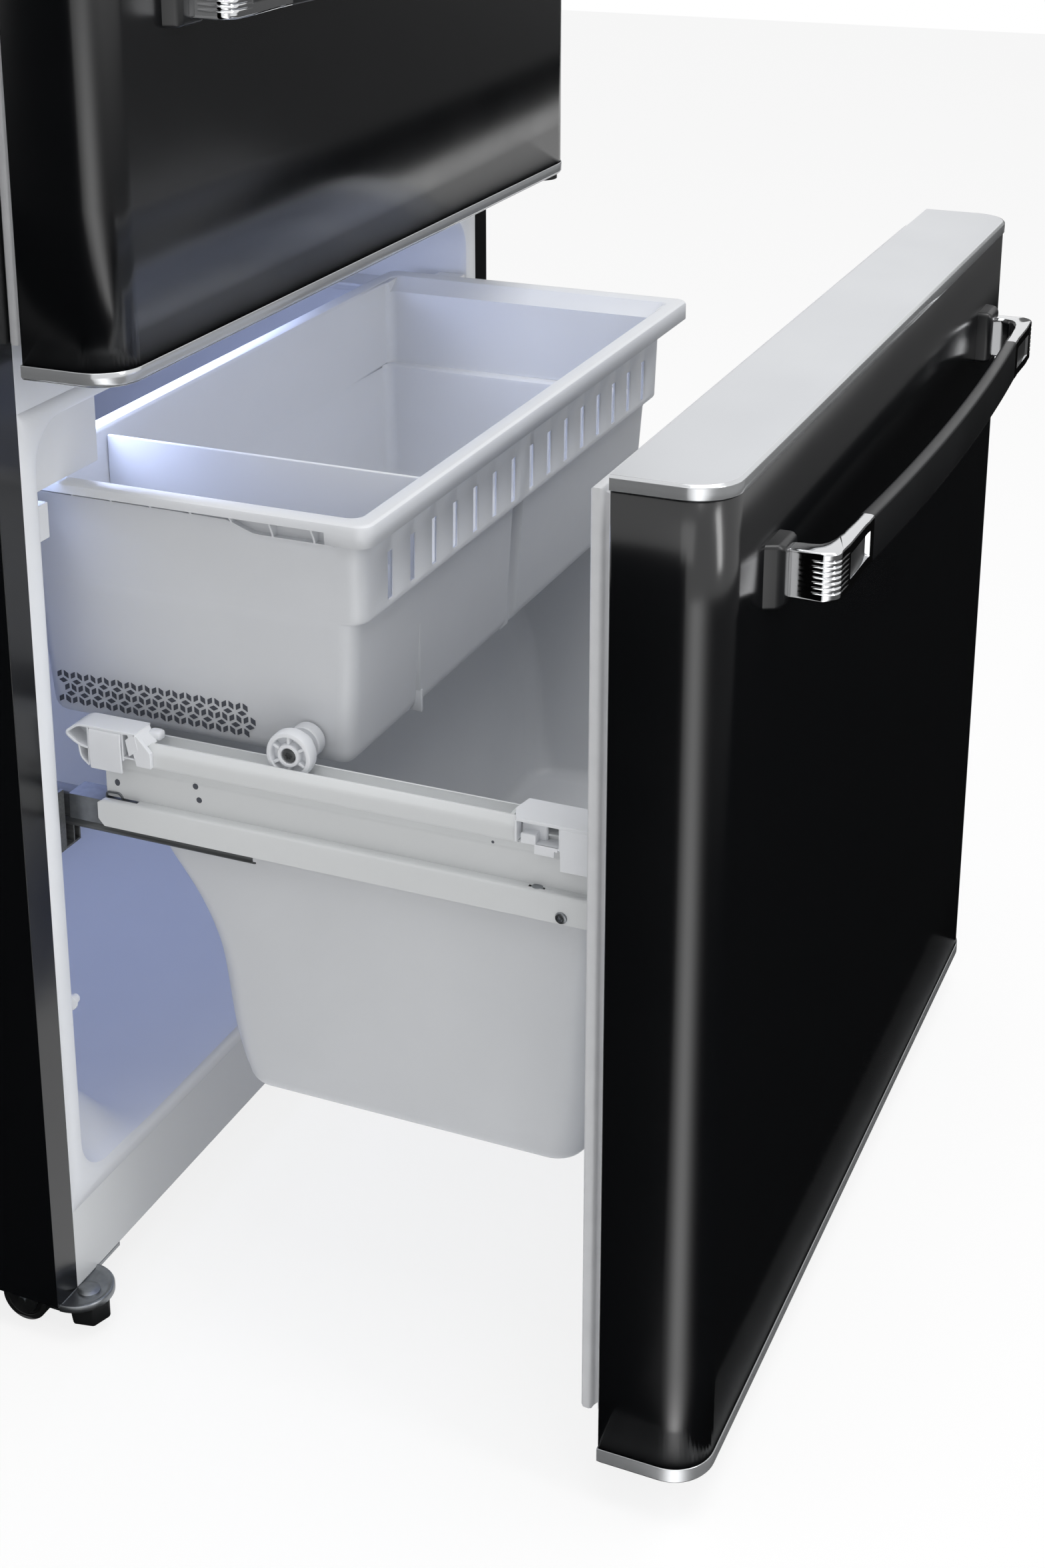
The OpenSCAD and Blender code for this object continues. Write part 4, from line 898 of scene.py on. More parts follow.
def spoked_wheel(side):
    """Basket wheel: a turned rim with a rounded tread and a hub, joined by six thin spokes and a web.

    It runs 4 mm further inboard than its solid.
    """
    name = "basket_wheel_" + SIDES[side]
    lo, hi = ends(name)
    c = (lo + hi) / 2 - [side * 4, 0, 0]
    half, r = (hi[0] - lo[0]) / 2, (hi[2] - lo[2]) / 2
    bore, hub, web = 3.1, 9.3, half - 6
    tread = [(bore, -half), (r - 2, -half), (r - 0.7, 0.7 - half), (r, 2.5 - half), (r, half - 2.5)]
    rim = [(r - 0.7, half - 0.6), (r - 1.8, half), (r - 3.4, half), (r - 4.0, half - 1), (r - 4.2, web)]
    cup = [(hub, web), (8.7, half - 1), (8.1, half - 0.2), (6.4, half - 0.2), (5.9, half - 0.8),
           (5.7, half - 3.4)]
    parts = [turned(tread + rim + cup + [(bore, half - 3.4)], c, 0, 48, side, bored=True)]
    for k in range(6):
        a = k * np.pi / 3
        spoke, faces = slab(-1.1, 1.1, 8.8, r - 3.7, web - 0.5, half - 1.0, 0.6, axis=1)
        x, y, z = spoke.reshape(-1, 3).T
        turned_y, turned_z = x * math.cos(a) - y * math.sin(a), x * math.sin(a) + y * math.cos(a)
        parts.append((np.column_stack([c[0] + side * z, c[1] + turned_y, c[2] + turned_z]), faces))
    piece(name + "_spoked", parts, "plastic", name, [name])


# Deep bin

def smooth_interp(x, xp, fp):
    """Linear interpolation averaged over a 24 mm window, which rounds the corners of the curve."""
    window = np.linspace(-12, 12, 25)
    return np.interp(x[:, None] + window, xp, fp).mean(1)


def bin_shell():
    """Deep bin as a loft: each level is a rounded rectangle between a front curve and an S-shaped rear."""
    lo, hi = ends("lower_bin")
    bottom, top = lo[2], hi[2] - 2.5
    corner = 15.0
    z = np.concatenate([np.linspace(bottom + corner, bottom + 55, 8), np.linspace(bottom + 64, top - 1, 30)])
    front_z = [bottom, bottom + 15, bottom + 30, bottom + 60, top - 100, top]
    front = smooth_interp(z, front_z, [60, 56.5, 53.5, 50, 42, 34.5])
    rear_z = [*(bottom + np.array([0, 15, 24, 52, 90, 118, 140, 165, 182, 199, 238])), top]
    rear = smooth_interp(z, rear_z, [334, 339.5, 342, 347, 349.5, 352, 358, 369, 380, 392, 411, 425])
    half = np.interp(z, [bottom, bottom + 20, top], [299, 303, 318])
    radius = np.interp(z, [bottom, bottom + 80, top], [26, 22, 15])
    rows = []
    for k in np.linspace(np.pi / 2, 0.12, 7):
        d = corner * (1 - np.cos(k))
        level = bottom + corner * (1 - np.sin(k))
        rows.append((half[0] - d, front[0] + d, rear[0] - d, max(26 - d, 12), level))
    rows += zip(half, front, rear, radius, z)
    rows.append((318.4, 34.2, 425.2, 15, top + 0.2))
    rows.append((320.5, 32.5, 427, 15, top + 1.6))
    rows.append((339.5, 26.0, 433.6, 12, top + 2.3))
    stations = np.linspace(-250, 250, 11)
    rings = [container_ring(-h, h, DRAWER_BACK + a, DRAWER_BACK + b, r, q, stations)
             for h, a, b, r, q in rows]
    cols = len(rings[0])
    shell = [(rings, [*weave(len(rings), cols, close_cols=True), list(range(cols))])]
    ob = piece("deep_bin", shell, "bin", "drawer", ["lower_bin"], seam=45)
    turn_sheet(ob)
    wall(ob, 2.4)


# Freezer space

def tub_ring(half, z0, z1, r, y):
    """A rounded rectangle in a plane of constant y, with closely set points along its floor and ceiling."""
    a = np.linspace(0, np.pi / 2, 10)
    floor = np.linspace(-half + r, half - r, 61)
    side = np.linspace(z0 + r, z1 - r, 15)[1:-1]
    level, height = np.ones(len(floor)), np.ones(len(side))
    q = [np.stack([floor, level * z0], -1),
         np.stack([half - r + r * np.sin(a), z0 + r - r * np.cos(a)], -1)[1:],
         np.stack([height * half, side], -1),
         np.stack([half - r + r * np.cos(a), z1 - r + r * np.sin(a)], -1),
         np.stack([floor[::-1], level * z1], -1)[1:-1],
         np.stack([-half + r - r * np.sin(a), z1 - r + r * np.cos(a)], -1),
         np.stack([-height * half, side[::-1]], -1),
         np.stack([-half + r - r * np.cos(a), z0 + r - r * np.sin(a)], -1)[:-1]]
    q = np.concatenate(q)
    return np.column_stack([q[:, 0], np.full(len(q), y), q[:, 1]])


def freezer_tub():
    """Formed liner: a front flange, a rounded opening and a tunnel whose floor steps up over the machinery.

    The floor has a mound at the front left, 46 exp(-((x + 345) / 52)^4 - ((y - 74) / 55)^4) millimetres high.
    """
    lo, hi = ends("freezer_liner")
    flange = 18.0
    opening, floor, ceiling = 370.0, lo[2] + 16, hi[2] - 14
    y = np.concatenate([[18, 18.2, 19, 21], np.linspace(26, 190, 34), np.linspace(205, 350, 12),
                        [355.2, 355.8, 356.6, 378, 400, 470, 560, 564.9]])
    flare = np.interp(y, [18, 18.2, 19, 21], [4, 2, 0.6, 0])
    tunnel_floor = np.interp(y, [355.5, 356.2, 378, 400], [floor, 242, 322, 322])
    rings = [tub_ring(hi[0], lo[2], hi[2], 0.8, flange)]
    for depth, grow, bottom in zip(y, flare, tunnel_floor):
        r = 34.0 if bottom < floor + 1 else 26.0
        rings.append(tub_ring(opening + grow, bottom - grow, ceiling + grow, r + grow, depth))
    p = np.array(rings)
    x, depth, height = p[..., 0], p[..., 1], p[..., 2] - floor
    mound = 46 * np.exp(-(((x + 345) / 52) ** 4) - ((depth - flange - 74) / 55) ** 4)
    fade = np.clip(1 - height / 60, 0, 1)
    p[..., 2] += np.where((height < 40) & (depth > flange + 0.5), mound * fade, 0)
    p[..., 1] += DOOR_BACK
    rows, cols = p.shape[:2]
    back = [(rows - 1) * cols + k for k in range(cols)]
    tunnel = [(p, [*weave(rows, cols, close_cols=True), back])]
    ob = piece("freezer_tub", tunnel, "liner", "cabinet", ["freezer_liner"], seam=30)
    turn_sheet(ob, outwards=False)
    wall(ob, 1.5)


def freezer_details():
    """Small parts on the freezer walls: stop peg, side-rail screws."""
    peg = [(6, -1), (6, 1.5), (4, 2.5), (3.8, 7.6), (3, 8.6)]
    parts = [turned(peg, (-370.0, DOOR_BACK + 21, 276.0), 0, 24)]
    piece("freezer_peg", parts, "plastic", "cabinet")
    z = ends("basket_side_rails")[0][2] + 12
    heads = [screw((side * 357.0, DOOR_BACK + 33, z), -side, 4.2, 1.5) for side in SIDES]
    piece("side_rail_screws", heads, "dark", "cabinet")


# Rails and slides

def right_rail():
    """Outer face, front end, rear end and underside of the right drawer rail."""
    lo, hi = ends("drawer_rail_right")
    return hi[0], lo[1], hi[1], lo[2]


def folded_rail(side):
    """Drawer rail of folded sheet: a wheel trough with a rolled outer edge, a pressed web and a band."""
    name = "drawer_rail_" + SIDES[side]
    out, front, rear, z = right_rail()
    window, cheek, web_end, slot = front + 61, rear - 38, rear - 4.5, rear - 32.5
    trough = [(out - 24.3, z + 70.5), (out - 24.3, z + 62), (out - 6.6, z + 62)]
    rolled = [(out - 6.4, z + 71.6), (out - 4.8, z + 72.2), (out - 0.75, z + 66.4), (out - 0.75, z + 55.2)]
    web = [(out - 9.8, z + 45.5), (out - 9.2, z + 43.8), (out - 9.2, z + 21)]
    parts = [folded([*trough, *rolled, (out - 9.8, z + 54.4), *web], window, cheek)]
    for y0, y1 in ((front, window), (cheek, web_end)):
        parts += [folded(trough, y0, y1), folded([(out - 9.8, z + 61.2), *web], y0, y1)]
    edge = [(out - 4, z + 20.75), (out - 0.75, z + 20.75), (out - 0.75, z)]
    band = folded(edge, front, rear - 6, radius=2.4)[0]
    tip = band[1] * [1, 0, 1] + [0, rear - 1, 0]
    tip[:, 2] = np.clip(tip[:, 2], z + 5.5, z + 18.5)
    parts.append(tube([*band, tip]))
    window_front, window_rear = front + 43, front + 55
    for x0, x1, y0, y1 in (
        (25, 16, front, rear - 1),
        (16, 6.5, front, slot),
        (6.5, 3.5, front, window_front),
        (6.5, 3.5, window_rear, slot),
    ):
        parts.append(slab(out - x0, out - x1, y0, y1, z + 20, z + 21.5, 0.05))
    parts.append(slab(out - 34, out - 10, front, rear - 12, z + 48, z + 49.5, 0.3))
    parts.append(slab(out - 23, out - 7.5, front + 68.8, front + 71.8, z + 62, z + 68.7, 0.5))
    piece(name + "_folded", mirrored(parts, side), "sheet", "drawer", [name], seam=32)


def rail_hole_shades():
    """Painted shade of the holes in the webs: dark discs that lie in the sheet's face, the rearmost one oval.
    """
    out, front, rear, z = right_rail()
    upper_face, lower_face = out - 9.1, out - 8.5
    parts = []
    for x, y, height, radius, tall in (
        (lower_face, rear - 80.4, 42.8, 2.3, 1),
        (lower_face, rear - 83, 32.4, 2.3, 1),
        (lower_face, rear - 13.9, 33.1, 2.2, 1.25),
        (upper_face, front + 83, 46.6, 1.1, 1),
    ):
        disc, faces = turned([(radius, 0), (radius, 0.12)], (0, 0, 0), 0, 24)
        parts.append((disc * [1, 1, tall] + [x, y, z + height], faces))
    # The discs are painted shade: thin grey plates that stand for the dark inside of the holes.
    piece("rail_hole_shades", both_sides(parts), "hole_shade", "drawer", seam=40)


def front_guide():
    """Right front guide: a lid over the rail's end, a hanging flap and the frame of an open window."""
    rail, front, _, z = right_rail()
    out = rail + 4
    end = front + 61
    lid = [(out, front + 1), (out, end - 0.5), (out - 14, end + 5.5), (out - 31, end + 2.5),
           (out - 31, front + 1)]
    flap = [(out - 3, z + 74.4), (out - 0.8, z + 73), (out - 0.2, z + 60), (out - 0.9, z + 42)]
    return [
        carried(lid, z + 73.2, z + 75.6, 2),
        folded(flap, front + 1, front + 28.5, 1, 1.8, 3),
        slab(rail - 9, out - 1, front + 28.5, front + 30, z + 56, z + 73.5, 0.3),
        slab(rail - 9, out - 0.8, front + 29.5, front + 47.5, z + 56.6, z + 58.2, 0.3),
        slab(rail - 8, out - 0.8, end - 14.5, end - 3.4, z + 57, z + 64.6, 0.9),
        slab(rail - 8.6, rail - 4.5, end - 20, end - 1, z + 57, z + 73.4, 2.0),
        slab(out - 2, out - 0.3, front + 33, front + 47.4, z + 51, z + 58.2, 0.4),
        slab(out - 2, out - 0.3, front + 30.5, front + 33.2, z + 55.4, z + 58.2, 0.3),
        slab(rail - 7, out - 0.5, end - 0.8, end + 0.8, z + 57.5, z + 73.4, 0.3),
    ]


def rear_guide():
    """Right rear guide: a rounded nose over a lobe, closed behind, with a strap, a cheek and a ramp."""
    rail, _, rear, z = right_rail()
    out = rail + 4
    nose = [(rear - 39, z + 80.6), (rear + 10, z + 80.6), (rear + 21.4, z + 72.6), (rear + 11, z + 65.4),
            (rear + 1.5, z + 63.6)]
    lobe = [(rear + 9.8, z + 65), (rear + 8.6, z + 55), (rear + 1.5, z + 49.5)]
    back = [(rear + 10, z + 80), (rear + 20.6, z + 72.6), (rear + 10.5, z + 66), (rear + 8, z + 55),
            (rear + 1, z + 49.8), (rear - 26, z + 60), (rear - 26, z + 80)]
    strap = [(out - 4, z + 80.2), (out - 0.6, z + 79), (out + 0.2, z + 70), (out - 0.2, z + 56),
             (out - 0.8, z + 48)]
    cheek = [(rear - 32, z + 81), (rear - 38, z + 60.5), (rear - 39, z + 56), (rear - 51, z + 56),
             (rear - 51, z + 68), (rear - 40, z + 80)]
    ramp = np.array([(out, rear - 38.5, z + 81.5), (out - 21.5, rear - 38, z + 81.5),
                     (out - 12, rear - 50.5, z + 73), (out, rear - 41, z + 69)])
    return [
        folded(nose, out - 22, out, 0, 1.9, 4.5),
        folded(lobe, out - 20, out - 0.4, 0, 1.5, 5),
        carried(back, out - 16, out - 14.5, 0),
        slab(out - 16, out - 0.4, rear + 0.8, rear + 2.2, z + 49.8, z + 80, 0.3),
        folded(strap, rear - 26.5, rear + 0.2, 1, 1.8, 5),
        slab(rail - 9, out - 1.2, rear - 38, rear - 26.5, z + 60, z + 61.4, 0.3),
        slab(out - 16, out - 1, rear - 28, rear - 26.5, z + 58, z + 80, 0.3),
        carried(cheek, rail + 0.1, out - 0.2, 0),
        tube([ramp, ramp + [0, 8, -6]]),
        slab(out - 22, out - 13, rear - 52, rear - 41, z + 72, z + 79.5, 2.5),
    ]


def rail_guides():
    """Moulded ends of both rails."""
    parts = both_sides(front_guide() + rear_guide())
    ob = piece("rail_ends_moulded", parts, "plastic", "drawer", ["rail_guides"], seam=32)
    round_edges(ob, 0.35, 45)


def slide_catches():
    """Spring hook of each drawer slide in its slot, and the rivet head that shows through the window."""
    out, front, rear, z = right_rail()
    hook = [(rear - 4.5, z + 20.1), (rear - 4.8, z + 24.4), (rear - 15.5, z + 24.8), (rear - 18, z + 22),
            (rear - 18, z + 20.1)]
    dome = [(5.2, 0), (5.0, 0.7), (4.2, 1.4), (2.8, 1.9), (1.2, 2.1)]
    rivet = turned(dome, (out - 6.5, front + 49, z + 20), 2, 28)
    parts = [folded(hook, out - 15, out - 7, 0, 1.2, 2.0), rivet]
    piece("slide_catches", both_sides(parts), "zinc", "drawer", seam=40)


def rolled_slides():
    """Middle members of the slides: a channel whose outer wall is rolled in along a groove and out again."""
    lo, hi = ends("intermediate_slides")
    out, z0, z1 = hi[0], lo[2], hi[2]
    sheet, slant = 1.3, 0.35
    path = [(out - 14, z0 + 1), (out - 14, z1 - 0.7), (out - 0.7, z1 - 0.7), (out - 0.7, z0 + 9.6),
            (out - 3.4, z0 + 7.8), (out - 0.8, z0 + 4.2), (out - 0.8, z0 + 2.2), (out - 4, z0 + 0.7)]
    channel, faces = folded(path, lo[1], hi[1], 1, sheet, sheet)
    channel[0, :, 1] += (channel[0, :, 2] - z0) * slant
    parts = both_sides([(channel, faces)])
    piece("intermediate_slides_rolled", parts, "dark", "slides", ["intermediate_slides"])


def drawer_screws():
    """Six-lobed screws that hold the rails to the drawer front."""
    z = ends("drawer_rail_left")[0][2] + 5
    heads = [screw((side * 356.6, DRAWER_BACK + 49, z), side, 4.3, 2.2) for side in SIDES]
    piece("rail_screws", heads, "zinc", "drawer")


# Feet

def foot_plates():
    """Zinc foot plates: pressed half discs with a raised rim, and the heads and shanks of their studs."""
    front = DOOR_BACK + 18.0
    zt = ends("cabinet_shell")[0][2]
    t = np.linspace(np.pi, 2 * np.pi, 33)
    profile = np.array([(28, -4), (28, 0), (27.2, 1.1), (26, 1.3), (24.8, 0.8), (23.5, -0.6), (22, -1),
                        (0.5, -1), (0.5, -4)])
    rows, cols = len(profile), len(t)
    first_end, last_end = [i * cols for i in range(rows)], [i * cols + cols - 1 for i in range(rows)][::-1]
    parts = []
    for side in SIDES:
        p = np.zeros((rows, cols, 3))
        p[..., 0] = side * 388.0 + profile[:, :1] * np.cos(t)
        p[..., 1] = front + profile[:, :1] * np.sin(t)
        p[..., 2] = zt + profile[:, 1:]
        parts.append((p, [*weave(rows, cols, close_rows=True), first_end, last_end]))
        inner, outer = sorted((side * 328.0, side * 416.0))
        parts.append(slab(inner, outer, front, front + 16, zt - 4, zt - 0.05, 0.8))
        stud = (side * 388.0, front - 9, 0)
        head = [(9, zt - 1.2), (9, zt), (6.5, zt + 0.9), (5.2, zt + 1.3), (0.5, zt + 1.4)]
        parts.append(turned(head, stud, 2, 32))
        parts.append(turned([(4, 18.2), (4, zt - 3)], stud, 2, 24))
    piece("foot_plates_pressed", parts, "zinc", "cabinet", ["foot_plates"], seam=38)


def hex_foot(side):
    """Levelling foot: a six-sided boss with rounded corners, a chamfered foot and a bore for the stud.

    Its radius is half_width / cos a, at most the corner radius, a being the turn from the nearest side.
    """
    name = "leveling_foot_" + SIDES[side]
    lo, hi = ends(name)
    middle = (lo + hi) / 2
    half_width, corner_radius, bore, sides = 14.6, 16.4, 4.1, 96
    t = np.linspace(0, 2 * np.pi, sides, endpoint=False)
    a = (t - math.radians(12) + np.pi / 6) % (np.pi / 3) - np.pi / 6
    hexagon = np.minimum(half_width / np.cos(a), corner_radius)
    outer = [(0.9, lo[2]), (0.97, lo[2] + 0.8), (1.0, lo[2] + 2), (1.0, hi[2] - 1.5), (0.96, hi[2] - 0.3),
             (0.93, hi[2])]
    inner = [(bore, hi[2]), (bore, lo[2] + 5)]
    lobes = np.where(np.arange(len(outer + inner))[:, None] < len(outer), hexagon, 1)
    foot = turned(outer + inner, (middle[0], middle[1], 0), 2, sides, lobes=lobes)
    piece(name + "_hex", [foot], "abs", name, [name])


# Stage

def seen_rays(owner):
    """Node that gives 1 for camera, glossy and transmission rays, which see plain white, and else 0."""
    rays = add(owner, "ShaderNodeLightPath").outputs
    direct = {0: rays["Is Camera Ray"], 1: rays["Is Glossy Ray"]}
    mirror = add(owner, "ShaderNodeMath", direct, operation="MAXIMUM")
    return add(owner, "ShaderNodeMath", {0: mirror, 1: rays["Is Transmission Ray"]}, operation="MAXIMUM")


def world_light(level):
    """White for camera, glossy and transmission rays, and a grey level for everything the world lights."""
    world = bpy.data.worlds.new("studio")
    bpy.context.scene.world = world
    world.use_nodes = True
    world.node_tree.nodes.clear()
    span = add(world, "ShaderNodeMapRange", {"Value": seen_rays(world)}, To_Min=level, To_Max=1.0)
    back = add(world, "ShaderNodeBackground", {"Strength": span}, Color=linear("#ffffff"))
    add(world, "ShaderNodeOutputWorld", {"Surface": back})


def flat_sheet(name, corners, mat):
    """A stage object of one flat quad."""
    me = bpy.data.meshes.new(name)
    me.from_pydata(corners, [], [(0, 1, 2, 3)])
    me.materials.append(mat)
    ob = bpy.data.objects.new(name, me)
    bpy.context.scene.collection.objects.link(ob)
    return ob


def floor(share):
    """White floor 14 m across under the rollers: seen rays get that share of plain white over its shade."""
    mat = surface("white floor", "#fafafa", patches=((400, 1), "#f8f8f8", "#fcfcfc"), Roughness=0.9)
    nodes = {node.type: node for node in mat.node_tree.nodes}
    part = add(mat, "ShaderNodeMath", {0: seen_rays(mat), 1: share}, operation="MULTIPLY")
    glow = add(mat, "ShaderNodeEmission", Color=linear("#ffffff"), Strength=1.0)
    mix = add(mat, "ShaderNodeMixShader", {0: part, 1: nodes["BSDF_PRINCIPLED"], 2: glow})
    mat.node_tree.links.new(mix.outputs[0], nodes["OUTPUT_MATERIAL"].inputs["Surface"])
    q = 7.0
    flat_sheet("floor", [(-q, -q, 0), (q, -q, 0), (q, q, 0), (-q, q, 0)], mat)


def aim(ob, right, up, ahead):
    """Turns a lamp or camera so that it looks ahead, with right and up as its own axes."""
    ob.rotation_euler = Matrix(np.column_stack([right, up, -ahead]).tolist()).to_euler()


def area_light(name, place, target, size, watts, color="#ffffff"):
    """A rectangular soft box at place, facing target."""
    data = bpy.data.lights.new(name, "AREA")
    data.shape = "RECTANGLE"
    data.size, data.size_y = size
    data.energy = watts
    data.color = linear(color)[:3]
    ob = bpy.data.objects.new(name, data)
    bpy.context.scene.collection.objects.link(ob)
    ob.location = place
    ahead = np.array(target, float) - np.array(place, float)
    ahead /= np.linalg.norm(ahead)
    right = np.cross(ahead, [0, 0, 1.0])
    right /= np.linalg.norm(right)
    aim(ob, right, np.cross(right, ahead), ahead)


def card(name, corners, code):
    """A plain studio card that only reflections see. Returns its material and emission node."""
    mat = blank(name)
    glow = add(mat, "ShaderNodeEmission", Color=linear(code), Strength=1.0)
    add(mat, "ShaderNodeOutputMaterial", {"Surface": glow})
    ob = flat_sheet(name, corners, mat)
    ob.visible_camera = ob.visible_diffuse = ob.visible_shadow = ob.visible_transmission = False
    return mat, glow


def strip_card(name, corners, centre, angle, width, peak):
    """A dark floor card with a soft wedge of light about centre.

    With a the turn from the wedge's middle at angle, its strength is 0.004 + peak exp(-(a / width)^2).
    Past 1.4 m in front of the cabinet up to 0.11 is added.
    """
    mat, glow = card(name, corners, "#ffffff")
    here = add(mat, "ShaderNodeTexCoord").outputs["Object"]
    axes = add(mat, "ShaderNodeSeparateXYZ", {0: here}).outputs
    aside = add(mat, "ShaderNodeMath", {0: centre[0], 1: axes[0]}, operation="SUBTRACT")
    along = add(mat, "ShaderNodeMath", {0: centre[1], 1: axes[1]}, operation="SUBTRACT")
    turn = add(mat, "ShaderNodeMath", {0: along, 1: aside}, operation="ARCTAN2")
    off = add(mat, "ShaderNodeMath", {0: turn, 1: math.radians(angle - 180)}, operation="SUBTRACT")
    share = add(mat, "ShaderNodeMath", {0: off, 1: math.radians(width)}, operation="DIVIDE")
    square = add(mat, "ShaderNodeMath", {0: share, 1: share}, operation="MULTIPLY")
    fall = add(mat, "ShaderNodeMath", {0: square, 1: -1.0}, operation="MULTIPLY")
    bell = add(mat, "ShaderNodeMath", {0: fall, 1: 0.0}, operation="EXPONENT")
    wedge = add(mat, "ShaderNodeMath", {0: bell, 1: peak}, operation="MULTIPLY")
    base = add(mat, "ShaderNodeMath", {0: wedge, 1: 0.004}, operation="ADD")
    far = add(mat, "ShaderNodeMapRange", {0: axes[1]}, From_Min=-1.4, From_Max=-1.8, To_Max=0.11)
    total = add(mat, "ShaderNodeMath", {0: base, 1: far}, operation="ADD")
    mat.node_tree.links.new(total.outputs[0], glow.inputs["Strength"])


def camera():
    """The photograph's camera: left of the drawer, looking down at the cabinet's right."""
    p = bpy.context.scene.fridge_stage
    data = bpy.data.cameras.new("camera")
    data.lens = p.lens
    data.shift_x, data.shift_y = p.shift_x, p.shift_y
    data.clip_start, data.clip_end = 0.05, 60
    ob = bpy.data.objects.new("camera", data)
    bpy.context.scene.collection.objects.link(ob)
    ob.location = p.camera_place
    yaw, pitch, roll = p.yaw, p.pitch, p.roll
    ahead = np.array([math.sin(yaw) * math.cos(pitch), math.cos(yaw) * math.cos(pitch), math.sin(pitch)])
    right = np.array([math.cos(yaw), -math.sin(yaw), 0.0])
    up = np.cross(right, ahead)
    aim(ob, math.cos(roll) * right + math.sin(roll) * up, math.cos(roll) * up - math.sin(roll) * right, ahead)
    bpy.context.scene.camera = ob


# Settings

def a_length(name, about, metres):
    """A length that a user can change."""
    return FloatProperty(name=name, description=about, default=metres, unit="LENGTH")


def an_angle(name, about, degrees):
    """An angle that a user can change."""
    return FloatProperty(name=name, description=about, default=math.radians(degrees), subtype="ANGLE")


def a_number(name, about, default):
    """A number without a unit that a user can change."""
    return FloatProperty(name=name, description=about, default=default)


def a_color(name, about, code):
    """A colour that a user can change."""
    rgb = linear(code)[:3]
    return FloatVectorProperty(name=name, description=about, default=rgb, min=0, max=1, subtype="COLOR")


class FinishSettings(bpy.types.PropertyGroup):
    """Colours of the painted and bright finishes."""

    enamel: a_color("Enamel", "Colour of the fronts and the cabinet", "#0a0b0d")
    trim: a_color("Trim", "Colour of the bright bands and trims", "#c6c8ca")
    handle_bar: a_color("Handle bar", "Colour of the handle bars", "#101113")
    white_sheet: a_color("White sheet", "Colour of the drawer rails and the plinth", "#d6d8d9")


class FrontSettings(bpy.types.PropertyGroup):
    """Sizes of the two enamelled fronts."""

    corner_radius: a_length("Corner radius", "Radius of the fronts' vertical corners", 0.030)
    cap_height: a_length("Cap height", "Height of the pressed caps", 0.010)
    cap_edge: a_length("Cap edge", "Rounding of the caps' upper edge", 0.0022)
    door_trim_height: a_length("Door trim height", "Height of the trim under the upper door", 0.011)
    drawer_trim_height: a_length("Drawer trim height", "Height of the trim under the drawer front", 0.013)
    trim_edge: a_length("Trim edge", "Rounding of the trims' lower edge", 0.0035)


class HandleSettings(bpy.types.PropertyGroup):
    """Sizes of the two handles."""

    bar_length: a_length("Bar length", "Length of the bar between its fittings", 0.460)
    bow: a_length("Bow", "How far the bar bows outward", 0.0065)
    thickness: a_length("Thickness", "Thickness of the bar", 0.010)
    height: a_length("Height", "Height of the bar", 0.034)
    reach: a_length("Reach", "Distance from the door to the bar's outer face", 0.0455)


class BasketSettings(bpy.types.PropertyGroup):
    """Sizes of the roller basket's slots and ledge."""

    slots: IntProperty(name="Slots", description="Number of slots in the front", default=15, min=1)
    slot_pitch: a_length("Slot pitch", "Distance between two slots", 0.0374)
    slot_width: a_length("Slot width", "Width of a slot", 0.010)
    slot_height: a_length("Slot height", "Height of a slot", 0.037)
    ledge: a_length("Ledge", "Width of the sloping ledge on the right", 0.022)


class StageSettings(bpy.types.PropertyGroup):
    """Camera and light."""

    lens: a_number("Lens", "Focal length in millimetres on a 36 mm long side", 53.50)
    shift_x: a_number("Shift X", "Sideways shift of the camera", 0.0458)
    shift_y: a_number("Shift Y", "Upward shift of the camera", -0.2114)
    yaw: an_angle("Yaw", "Turn to the right from +Y", 65.49)
    pitch: an_angle("Pitch", "Tilt upwards", -18.2)
    roll: an_angle("Roll", "Roll of the camera", -0.53)
    camera_place: FloatVectorProperty(
        name="Camera",
        description="Place of the camera",
        default=(-1.6571, -0.9265, 1.2206),
        subtype="TRANSLATION",
    )
    world_level: a_number("World level", "How strongly the world lights the object", 0.55)
    key_power: a_number("Key light", "Power of the front soft box in watts", 38.0)


# Operators

class FRIDGE_OT_fronts(bpy.types.Operator):
    """Make the enamelled sheets of the upper door and the drawer front"""

    bl_idname = "fridge.fronts"
    bl_label = "Enamelled fronts"

    def execute(self, context):
        for front in FRONTS:
            sheet_front(front)
            paint(frame["nodes"][front + "_foam"], "foam")
            softened(front + "_liner", "liner", 1.5)
        return {"FINISHED"}


class FRIDGE_OT_caps(bpy.types.Operator):
    """Make the pressed caps and the bright trims of both fronts, with the door's hinge bushes"""

    bl_idname = "fridge.caps"
    bl_label = "Caps and trims"

    def execute(self, context):
        p = context.scene.fridge_fronts
        for front in ("drawer", "upper_door"):
            pressed_cap(front, "cap", p.cap_height / MM, p.cap_edge / MM, "satin")
        for front, height in (("drawer", p.drawer_trim_height), ("upper_door", p.door_trim_height)):
            pressed_cap(front, "trim", height / MM, p.trim_edge / MM, "trim")
        hinge_bushes()
        return {"FINISHED"}


class FRIDGE_OT_seals(bpy.types.Operator):
    """Make the magnetic seals behind both fronts"""

    bl_idname = "fridge.seals"
    bl_label = "Seals"

    def execute(self, context):
        for front in FRONTS:
            seal_ring(front)
        return {"FINISHED"}


class FRIDGE_OT_handles(bpy.types.Operator):
    """Make both bowed handle bars with their chrome ends"""

    bl_idname = "fridge.handles"
    bl_label = "Handles"

    def execute(self, context):
        for front in FRONTS:
            bowed_bar(front)
            fittings(front)
        return {"FINISHED"}


class FRIDGE_OT_basket(bpy.types.Operator):
    """Make the slotted roller basket with its wheels"""

    bl_idname = "fridge.basket"
    bl_label = "Roller basket"

    def execute(self, context):
        basket_shell()
        basket_fittings()
        cube_lattice()
        for side in SIDES:
            spoked_wheel(side)
        return {"FINISHED"}


